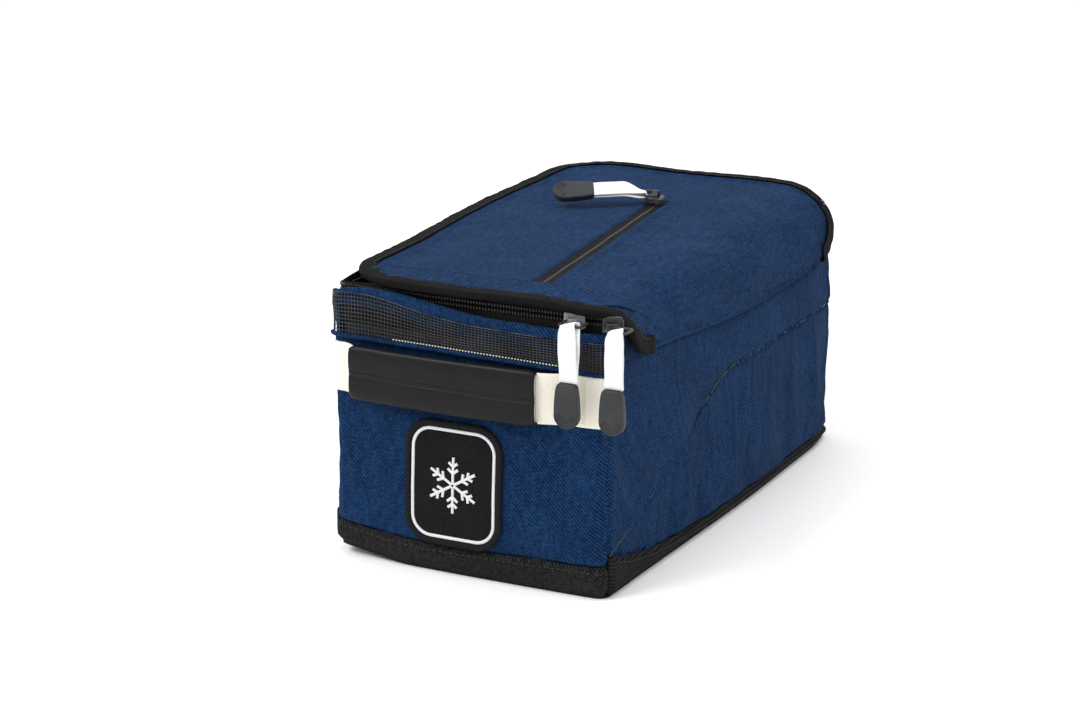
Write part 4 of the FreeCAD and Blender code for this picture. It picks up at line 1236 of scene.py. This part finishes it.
def make_handle():
    """The sewn tabs, the bare webbing and the sleeve of the handle."""
    cream = PAINTS["cream"]
    z_low, z_high = low("handle_webbing")[2], high("handle_webbing")[2]
    sleeve_x = low("handle_sleeve")[0], high("handle_sleeve")[0]
    tab_left, tab_right = high("handle_left_tab")[0], low("handle_right_tab")[0]
    left_end, right_end = low("handle_left_tab")[0] + 1.0, high("handle_right_tab")[0] - 0.5
    stand = -HALF_LENGTH - low("handle_sleeve")[1] - 2.0

    tab = strap("handle_left_tab_webbing", left_end, tab_left, lambda x: 1.5 + 0 * x, z_low, z_high,
                fray=1)
    rides(thick(tab, 1.3), "bag", "cream_webbing", cream, "handle_left_tab")
    tab = strap("handle_right_tab_webbing", tab_right, right_end,
                lambda x: 1.5 + 0 * x, z_low, z_high, fray=1)
    rides(thick(tab, 1.3), "bag", "cream_webbing", cream, "handle_right_tab")

    def rise_left(x):
        return 1.7 + (stand - 1.7) * smooth(tab_left, sleeve_x[0] + 3, x)

    def rise_right(x):
        return 1.7 + (stand - 1.7) * (1 - smooth(sleeve_x[1] - 2, tab_right, x))

    for name, ends, rise, start, end in (
            ("handle_webbing_left", (tab_left - 0.2, sleeve_x[0] + 5), rise_left, tab_left,
             sleeve_x[0]),
            ("handle_webbing_right", (sleeve_x[1] - 5, tab_right + 0.2), rise_right, tab_right,
             sleeve_x[1])):
        web = applied(thick(strap(name, *ends, rise, z_low, z_high), 1.3))
        web.data.materials.clear()
        web.data.materials.append(cream)
        y = low("handle_sleeve")[1]
        start * MM
        y * MM
        end * MM
        y * MM
        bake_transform(web)
        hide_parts("handle_webbing")

    lo, hi = low("handle_sleeve"), high("handle_sleeve")
    middle, half = (lo[2] + hi[2]) / 2, (hi[2] - lo[2]) / 2
    depth = (hi[1] - lo[1]) / 2
    y_middle = (lo[1] + hi[1]) / 2
    a = np.linspace(0, 2 * math.pi, 6001)
    shape = np.stack((np.sign(np.cos(a)) * np.abs(np.cos(a)) ** 0.55 * depth,
                      np.sign(np.sin(a)) * np.abs(np.sin(a)) ** 0.35 * half), -1)
    shape = resampled(shape, 0.5)[0]
    around = len(shape) - 1

    def sleeve(u, v):
        x = lo[0] + (hi[0] - lo[0]) * dense(u, 0.5)
        j = np.rint(v * around).astype(int)
        dy, dz = shape[j].T
        front = smooth(0.2, 1.0, -dy / depth)
        edge = np.minimum(x - lo[0], hi[0] - x)
        groove = 0.55 * hump(dz, -1.2 - 0.6 * (x / 60), 0.7) * front
        groove = groove + 0.35 * hump(dz, 0.9 - 0.6 * (x / 60), 0.5) * front
        puff = 0.35 * hump(dz, 7, 5) + 0.35 * hump(dz, -7, 5) + 0.15 * ripple(x, dz, 22, 71)
        squeeze = 1 - 0.10 * np.exp(-edge / 1.5)
        bow = 0.8 * (1 - ((x - (lo[0] + hi[0]) / 2) / 52) ** 2)
        y = y_middle + dy * squeeze + front * (groove - puff) - bow
        z = middle + dz * squeeze - 0.5 * (1 - ((x + 9) / 52) ** 2)
        return np.stack((x, y, z), -1), np.stack((x, v * around / 2), -1)

    cover = grid("handle_sleeve_skin", 90, around, sleeve, merge=True)
    rides(thick(cover, 0.6), "handle", "sleeve_skin", PAINTS["sleeve"], "handle_sleeve")
    x = even(lo[0] + 1, hi[0] - 1, 2.7)
    y = y_middle - depth - 0.05 - 0.8 * (1 - ((x - (lo[0] + hi[0]) / 2) / 52) ** 2)
    z = middle + 0.9 - 0.6 * (x / 60) - 0.5 * (1 - ((x + 9) / 52) ** 2)
    line = np.stack((x, y, z), -1)
    rides(beads("handle_sleeve_stitches", line, np.gradient(line, axis=0),
                np.tile((0, -1.0, 0), (len(x), 1)), 2.1, 0.5, 0.5), "handle", "sleeve_skin",
          PAINTS["sleeve_thread"])

    z = even(z_low + 1.5, z_high - 1.5, 1.0)
    zig = np.where(np.arange(len(z)) % 2 == 0, -0.9, 0.9)
    x = tab_right + 4.5 + zig * 0
    line = wall(x, z, 1.6)
    ahead = np.stack((zig * 1.6, 0 * zig, 0.55 + 0 * zig), -1)
    rides(beads("handle_tab_bar_stitches", line, ahead, np.tile((0, -1.0, 0), (len(z), 1)),
                2.7, 0.5, 0.5), "bag", "cream_webbing", cream)


def badge_line(inset, step=0.8):
    """The badge's outline drawn in by a distance, as points on the front."""
    lo, hi = low("badge_backing"), high("badge_backing")
    radius = 14.0 - inset
    cx, cz = (lo[0] + hi[0]) / 2, (lo[2] + hi[2]) / 2
    half_x, half_z = (hi[0] - lo[0]) / 2 - inset, (hi[2] - lo[2]) / 2 - inset
    path = []
    for dx, dz, start in ((1, 1, 0), (-1, 1, 90), (-1, -1, 180), (1, -1, 270)):
        for angle in np.radians(np.linspace(start, start + 90, 16)):
            path.append((cx + dx * (half_x - radius) + radius * math.cos(angle),
                         cz + dz * (half_z - radius) + radius * math.sin(angle)))
    path.append(path[0])
    return resampled(np.array(path), step)[0]


def on_front(line, out):
    """Points on the front from places across and up it."""
    return wall(line[:, 0], line[:, 1], out)


def make_badge():
    """The badge: its cloth, its overlocked edge, its border line and its snow motif."""
    lo, hi = low("badge_backing"), high("badge_backing")
    cx, cz = (lo[0] + hi[0]) / 2, (lo[2] + hi[2]) / 2

    def backing(u, v):
        z = lo[2] + 1 + (hi[2] - lo[2] - 2) * dense(v, 0.9)
        near = np.clip((np.abs(z - cz) - ((hi[2] - lo[2]) / 2 - 14)) / 13, 0, 1)
        half = (hi[0] - lo[0]) / 2 - 14 + 13 * np.sqrt(1 - near**2)
        x = cx + half * (2 * u - 1)
        return wall(x, z, 1.1), np.stack((x, z), -1)

    cloth = thick(grid("badge_cloth", 40, 50, backing), 1.0)
    rides(cloth, "bag", "badge_cloth", PAINTS["badge"], "badge_backing")
    edge = on_front(badge_line(1.2), 0.9)
    rim_ring = tube("badge_overlocked_edge", frames(edge, (0, -1, 0)), ring(1.7, 1.25, 12),
                    closed=True)
    rides(rim_ring, "bag", "badge_cloth", PAINTS["merrow"])
    inset = low("badge_border")[0] - lo[0] + 0.8
    line = on_front(badge_line(inset), 1.25)
    border = tube("badge_border_stitch", frames(line, (0, -1, 0)), ring(0.85, 0.55, 10),
                  closed=True)
    rides(border, "bag", "white_thread", PAINTS["white_thread"], "badge_border")

    strokes = []
    reach = (high("badge_motif")[0] - low("badge_motif")[0]) / 2
    for number in range(6):
        angle = math.radians(30 + 60 * number)
        along = np.array((math.cos(angle), math.sin(angle)))
        strokes.append((0.6 * along, reach * along))
        for start, size in ((0.42, 0.26), (0.66, 0.22)):
            for turn in (-0.9, 0.9):
                out = np.array((math.cos(angle + turn), math.sin(angle + turn)))
                strokes.append((reach * start * along, reach * (start * along + size * out)))
    pieces = []
    for number, (a, b) in enumerate(strokes):
        steps = np.linspace(0, 1, 12)[:, None]
        flat = np.array((cx, cz)) + a + (b - a) * steps
        pieces.append(tube(f"motif_{number}", frames(on_front(flat, 1.25), (0, -1, 0)),
                           ring(0.75, 0.5, 8), closed=True))
    motif = joined("badge_snow_motif", pieces)
    rides(motif, "bag", "white_thread", PAINTS["white_thread"], "badge_motif")


# ---------------------------------------------------------------- sliders and pulls

def beveled(bm, width, segments=3):
    """Round all the edges of a solid."""
    bmesh.ops.bevel(bm, geom=bm.edges[:], offset=width * MM, offset_type="OFFSET",
                    segments=segments, profile=0.5, affect="EDGES", clamp_overlap=True,
                    material=-1)


def block_mesh(name, size, place, width, taper=0.0):
    """A block with rounded edges, narrower at its far end."""
    bm = bmesh.new()
    bmesh.ops.create_cube(bm, size=1, matrix=Matrix.Diagonal((*[c * MM for c in size], 1)))
    for vert in bm.verts:
        if vert.co.x > 0:
            vert.co.y *= 1 - taper
    beveled(bm, width)
    bmesh.ops.transform(bm, matrix=place, verts=bm.verts)
    mesh = bpy.data.meshes.new(name)
    bm.to_mesh(mesh)
    bm.free()
    return to_object(name, mesh)


def shift(x, y, z):
    return Matrix.Translation(Vector((x, y, z)) * MM)


def slider_frame(tag):
    """The slider's own place: X along the zip, Z away from it, its back at the origin."""
    lo, hi = low(f"{tag}_slider"), high(f"{tag}_slider")
    middle = (lo + hi) / 2
    if tag == "pocket":
        axis = Vector(joint("pocket_slider_run")["axis"])
        turn = Vector((1, 0, 0)).rotation_difference(-axis).to_matrix().to_4x4()
        return shift(middle[0], middle[1], lo[2]) @ turn
    turn = Matrix.Rotation(math.pi / 2, 4, "X")
    return shift(middle[0], hi[1], middle[2]) @ turn


def make_slider(tag):
    """A zip slider: a waisted plate with a bridge on top."""
    place = slider_frame(tag)
    plate = block_mesh("plate", (11, 9, 1.3), place @ shift(0, 0, 2.1), 0.5, 0.28)
    under = block_mesh("under", (10, 7.6, 1.4), place @ shift(-0.2, 0, 0.8), 0.4, 0.3)
    cheeks = [block_mesh("cheek", (9, 0.9, 1.9), place @ shift(-0.4, side * 3.7, 1.35), 0.3)
              for side in (-1, 1)]
    arch = [(x, 0, 2.4 + 3.7 * math.sin(a)) for x, a in
            zip(np.linspace(-3.6, 3.6, 13), np.linspace(0, math.pi, 13))]
    points = [np.array(place @ (Vector(p) * MM)) / MM for p in arch]
    bridge = [wire("bridge", [np.array(p) + np.array((place.to_3x3() @ Vector((0, dy, 0))))
                              for p in points], 0.75, closed=False) for dy in (-0.8, 0, 0.8)]
    made = joined(f"{tag}_slider_body", [plate, under, *cheeks, *bridge])
    # the left slider's lighter grey finish is a painted highlight on the same black slider metal
    paint = PAINTS["highlight_grey" if tag == "left" else "enamel"]
    rides(made, f"{tag}_slider", "slider_metal", paint, f"{tag}_slider")


def pull_frame(tag):
    """The pull's own place: the pivot at the origin, X along its bar, -Y towards its loop's end."""
    hinge = joint("pocket_pull_lift" if tag == "pocket" else f"{tag}_pull_swing")
    pivot = Vector(hinge["pos_m"])
    if tag != "pocket":
        return shift(PULL_ASIDE, 0, 0) @ Matrix.Translation(pivot)
    bar = Vector(hinge["axis"])
    turn = math.atan2(-bar.y, -bar.x)
    tip = math.radians(2.5)
    return Matrix.Translation(pivot) @ Matrix.Rotation(turn, 4, "Z") @ Matrix.Rotation(tip, 4, "X")


def make_grip(tag, place):
    """A rubber grip: a tapered tongue with a round end and three raised arcs."""
    half, neck, long, depth = 6.5, 5.7, 22.0, 4.0
    bm = bmesh.new()
    bmesh.ops.create_circle(bm, cap_ends=True, segments=32, radius=1)
    for vert in bm.verts:
        x, y = vert.co.x, vert.co.y
        if y > 0:
            x = math.copysign(abs(x) ** 0.15, x) * (1 + (neck / half - 1) * y)
            y = (long / half - 1) * y**0.7
        vert.co = (x * half * MM, (y * half - (long - half)) * MM, 0)
    face = bm.faces[:][0]
    grown = bmesh.ops.extrude_face_region(bm, geom=[face])
    moved = [g for g in grown["geom"] if isinstance(g, bmesh.types.BMVert)]
    bmesh.ops.translate(bm, verts=moved, vec=(0, 0, depth * MM))
    bmesh.ops.recalc_face_normals(bm, faces=bm.faces)
    rims = [e for e in bm.edges if abs(e.verts[0].co.z - e.verts[1].co.z) < 1e-7]
    bmesh.ops.bevel(bm, geom=rims, offset=0.75 * MM, offset_type="OFFSET", segments=3, profile=0.5,
                    affect="EDGES", clamp_overlap=True, material=-1)
    bmesh.ops.transform(bm, matrix=place, verts=bm.verts)
    mesh = bpy.data.meshes.new("tongue")
    bm.to_mesh(mesh)
    bm.free()
    parts = [to_object("tongue", mesh)]
    for radius in (5.5, 4.4, 3.3):
        arc = [(radius * math.cos(a), -(long - half) + 0.6 * (5.5 - radius) - radius * abs(math.sin(a)),
                depth + 0.02) for a in np.linspace(0.15, math.pi - 0.15, 15)]
        arc = [np.array(place @ (Vector(p) * MM)) / MM for p in arc]
        parts.append(wire("arc", arc, 0.28, closed=False, sides=2))
    grip = joined(f"{tag}_pull_rubber", parts)
    rides(grip, f"{tag}_pull", "grip_rubber", PAINTS["rubber"], f"{tag}_pull_grip")


def make_pull(tag):
    """The wire loop, the folded ribbon and the grip of one pull."""
    place = pull_frame(tag)
    reach = 7.0 if tag == "pocket" else 9.0
    thin, half = 0.7, 6.3 - 0.7
    corners = [(-half, 0), (half, 0), (half, -reach + thin), (-half, -reach + thin)]
    path = []
    for number, (x, y) in enumerate(corners):
        inx, iny = -np.sign(x), (-1 if y == 0 else 1)
        centre = (x + inx * 1.3, y + iny * 1.3)
        begin = {0: 180, 1: 90, 2: 0, 3: -90}[number]
        for angle in np.radians(np.linspace(begin, begin - 90, 6)):
            path.append((centre[0] + 1.3 * math.cos(angle), centre[1] + 1.3 * math.sin(angle), 0))
    path = [np.array(place @ (Vector(p) * MM)) / MM for p in path]
    loop = wire(f"{tag}_pull_wire", path, thin)
    rides(loop, f"{tag}_pull", "slider_metal", PAINTS["enamel"], f"{tag}_pull_loop")

    # the ribbon's line in the plane square to the bar: y away from the pivot, z up
    bar_y, length = -reach + thin, 27.7
    over = [(math.cos(a) * 1.15, math.sin(a) * 1.15) for a in np.linspace(0, math.pi, 9)]
    hang = np.linspace(1, length, 22)
    if tag == "pocket":
        upper = [(-1.0 * d, 1.15 - 0.35 * min(1, d / 8)) for d in hang[::-1]]
        lower = [(-1.0 * d, -1.15 + 0.35 * min(1, d / 8)) for d in hang]
        line = upper + [(b, a) for a, b in over] + lower
        line = [(bar_y + a, b) for a, b in line]
    else:
        front = [(-1.15 + 0.4 * min(1, d / 7), -d) for d in hang[::-1]]
        back = [(1.15 - 0.75 * min(1, d / 7), -d) for d in hang]
        line = front + [(-a, b) for a, b in over] + back
        line = [(bar_y + a, b) for a, b in line]
    line = np.array(line)
    far = np.concatenate(([0], np.cumsum(np.linalg.norm(np.diff(line, axis=0), axis=1))))
    matrix = np.array(place)
    lean = {"left": 0.9, "right": -0.4, "pocket": 0.5}[tag]

    def ribbon(u, v):
        i = np.rint(v * (len(line) - 1)).astype(int)
        y, z = line[i].T
        share = far[i] / far[-1]
        top = np.exp(-((share - 0.5) / 0.07) ** 2)
        side = np.where(share < 0.5, -1, 1)
        wide = 4.7 * (1 - 0.22 * top)
        x = wide * (2 * u - 1) + side * lean * np.sin(math.pi * share) ** 2 + 0.5 * top
        wave = 0.35 * np.sin(share * 19) * (1 - top)
        lift = 0.7 * top * (2 * u - 1)
        if tag == "pocket":
            lean_over = POCKET_LEAN * smooth(0, 12, bar_y - y)
            raised = z + wave * 0.4 + lift * 0.4
            local = np.stack((x * np.cos(lean_over) + raised * np.sin(lean_over), y,
                              raised * np.cos(lean_over) - x * np.sin(lean_over)
                              + 6.4 * np.sin(lean_over)), -1)
        else:
            local = np.stack((x, y + wave, z + lift * 1.6), -1)
        where = local * MM @ matrix[:3, :3].T + matrix[:3, 3]
        return where / MM, np.stack((x, far[i]), -1)

    strip = grid(f"{tag}_pull_ribbon_cloth", 10, len(line) - 1, ribbon)
    rides(thick(strip, 0.6, offset=0), f"{tag}_pull", "white_ribbon", PAINTS["ribbon"],
          f"{tag}_pull_ribbon")

    if tag == "pocket":
        turn = Matrix.Rotation(POCKET_LEAN, 4, "Y")
        end = place @ shift(0, -reach - 27, 6.4 * math.sin(POCKET_LEAN)) @ turn @ shift(0, 0, -2)
    else:
        turn = Matrix.Rotation(math.pi / 2, 4, "X")
        end = place @ shift(0, -reach + 0.9, -0.7 - 27) @ turn
    make_grip(tag, end)


# ---------------------------------------------------------------- stage

def area_light(name, place, aim, size, power, tint=(1, 1, 1)):
    data = bpy.data.lights.new(name, "AREA")
    data.shape, data.size, data.energy, data.color = "DISK", size, power, tint
    lamp = bpy.data.objects.new(name, data)
    bpy.context.scene.collection.objects.link(lamp)
    lamp.location = place
    lamp.rotation_mode = "QUATERNION"
    lamp.rotation_quaternion = (Vector(aim) - Vector(place)).to_track_quat("-Z", "Y")
    return lamp


def make_stage():
    """The pale floor, the soft lights and the camera."""
    bm = bmesh.new()
    bmesh.ops.create_circle(bm, cap_ends=True, segments=96, radius=12)
    mesh = bpy.data.meshes.new("floor")
    bm.to_mesh(mesh)
    bm.free()
    floor = to_object("floor", mesh)
    p = Paint("floor_paper")
    grain = p.noise(p.place(), 3.0, 2.0)
    floor.data.materials.append(p.finish(p.mix(grain, rgb(0.93, 0.93, 0.93), rgb(0.95, 0.95, 0.95)),
                                         0.6, Specular_IOR_Level=0.2))
    world = bpy.data.worlds.new("soft_sky")
    world.use_nodes = True
    world.node_tree.nodes["Background"].inputs["Color"].default_value = (1, 1, 1, 1)
    world.node_tree.nodes["Background"].inputs["Strength"].default_value = 0.95
    bpy.context.scene.world = world
    bpy.context.scene.view_settings.view_transform = "Standard"
    area_light("key_light", (-0.9, -1.1, 1.5), (0, 0, 0.08), 1.1, 26)
    area_light("top_light", (0.25, 0.35, 1.7), (0, 0, 0.1), 1.4, 10)
    area_light("side_light", (1.5, -0.5, 0.8), (0, 0, 0.08), 0.9, 4)

    azimuth, elevation, roll = math.radians(26.73), math.radians(16.54), math.radians(-0.10)
    back = Vector((math.sin(azimuth) * math.cos(elevation), -math.cos(azimuth) * math.cos(elevation),
                   math.sin(elevation)))
    right = Vector((0, 0, 1)).cross(back).normalized()
    up = back.cross(right)
    turned_right = right * math.cos(roll) + up * math.sin(roll)
    turned_up = up * math.cos(roll) - right * math.sin(roll)
    data = bpy.data.cameras.new("camera")
    data.sensor_width, data.lens = 36.0, 85.59
    data.clip_start, data.clip_end = 0.01, 60
    camera = bpy.data.objects.new("camera", data)
    camera.matrix_world = Matrix((turned_right, turned_up, back)).transposed().to_4x4()
    camera.location = (0.5680, -1.1936, 0.4650)
    bpy.context.scene.collection.objects.link(camera)
    bpy.context.scene.camera = camera


# ---------------------------------------------------------------- operators

class KITBAG_OT_body(bpy.types.Operator):
    """Build the body's cloth, bands, rim, vent and lining."""

    bl_idname, bl_label = "kitbag.body", "Build body"

    def execute(self, context):
        make_walls()
        make_seam_shadow_lines()
        make_bands()
        make_rim()
        make_vent()
        make_lining()
        return {"FINISHED"}


class KITBAG_OT_lid(bpy.types.Operator):
    """Build the lid's cloth, binding, band and lining."""

    bl_idname, bl_label = "kitbag.lid", "Build lid"

    def execute(self, context):
        make_lid()
        return {"FINISHED"}


class KITBAG_OT_zips(bpy.types.Operator):
    """Build the main zip and the lid pocket's zip."""

    bl_idname, bl_label = "kitbag.zips", "Build zips"

    def execute(self, context):
        make_main_zip()
        make_pocket_zip()
        return {"FINISHED"}


class KITBAG_OT_handle(bpy.types.Operator):
    """Build the handle and the badge."""

    bl_idname, bl_label = "kitbag.handle", "Build handle and badge"

    def execute(self, context):
        make_handle()
        make_badge()
        return {"FINISHED"}


class KITBAG_OT_pulls(bpy.types.Operator):
    """Build the sliders and their pulls."""

    bl_idname, bl_label = "kitbag.pulls", "Build sliders and pulls"

    def execute(self, context):
        for tag in PULL_TAGS:
            make_slider(tag)
            make_pull(tag)
        return {"FINISHED"}


class KITBAG_OT_stage(bpy.types.Operator):
    """Set the floor, the lights and the camera."""

    bl_idname, bl_label = "kitbag.stage", "Set stage"

    def execute(self, context):
        make_stage()
        return {"FINISHED"}


class KITBAG_PT_panel(bpy.types.Panel):
    """The bag's builders and colours."""

    bl_idname, bl_label = "KITBAG_PT_panel", "Kit bag"
    bl_space_type, bl_region_type, bl_category = "VIEW_3D", "UI", "Kit bag"

    def draw(self, context):
        for operator in OPERATORS:
            self.layout.operator(operator.bl_idname)
        for name in KitBagLooks.__annotations__:
            self.layout.prop(context.scene.kit_bag_looks, name)


OPERATORS = (KITBAG_OT_body, KITBAG_OT_lid, KITBAG_OT_zips, KITBAG_OT_handle, KITBAG_OT_pulls,
             KITBAG_OT_stage)


def register():
    for item in (KitBagLooks, *OPERATORS, KITBAG_PT_panel):
        bpy.utils.register_class(item)
    bpy.types.Scene.kit_bag_looks = bpy.props.PointerProperty(type=KitBagLooks)


def unregister():
    del bpy.types.Scene.kit_bag_looks
    for item in (KITBAG_PT_panel, *reversed(OPERATORS), KitBagLooks):
        bpy.utils.unregister_class(item)


def main():
    """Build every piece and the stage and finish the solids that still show."""
    register()
    PAINTS.update(paints())
    for operator in OPERATORS:
        group, name = operator.bl_idname.split(".")
        getattr(getattr(bpy.ops, group), name)()
    for name, thing in frame["nodes"].items():
        if not thing.hide_render:
            thing.data.materials.clear()
            thing.data.materials.append(PAINTS["coil"])


if __name__ == "__main__":
    main()
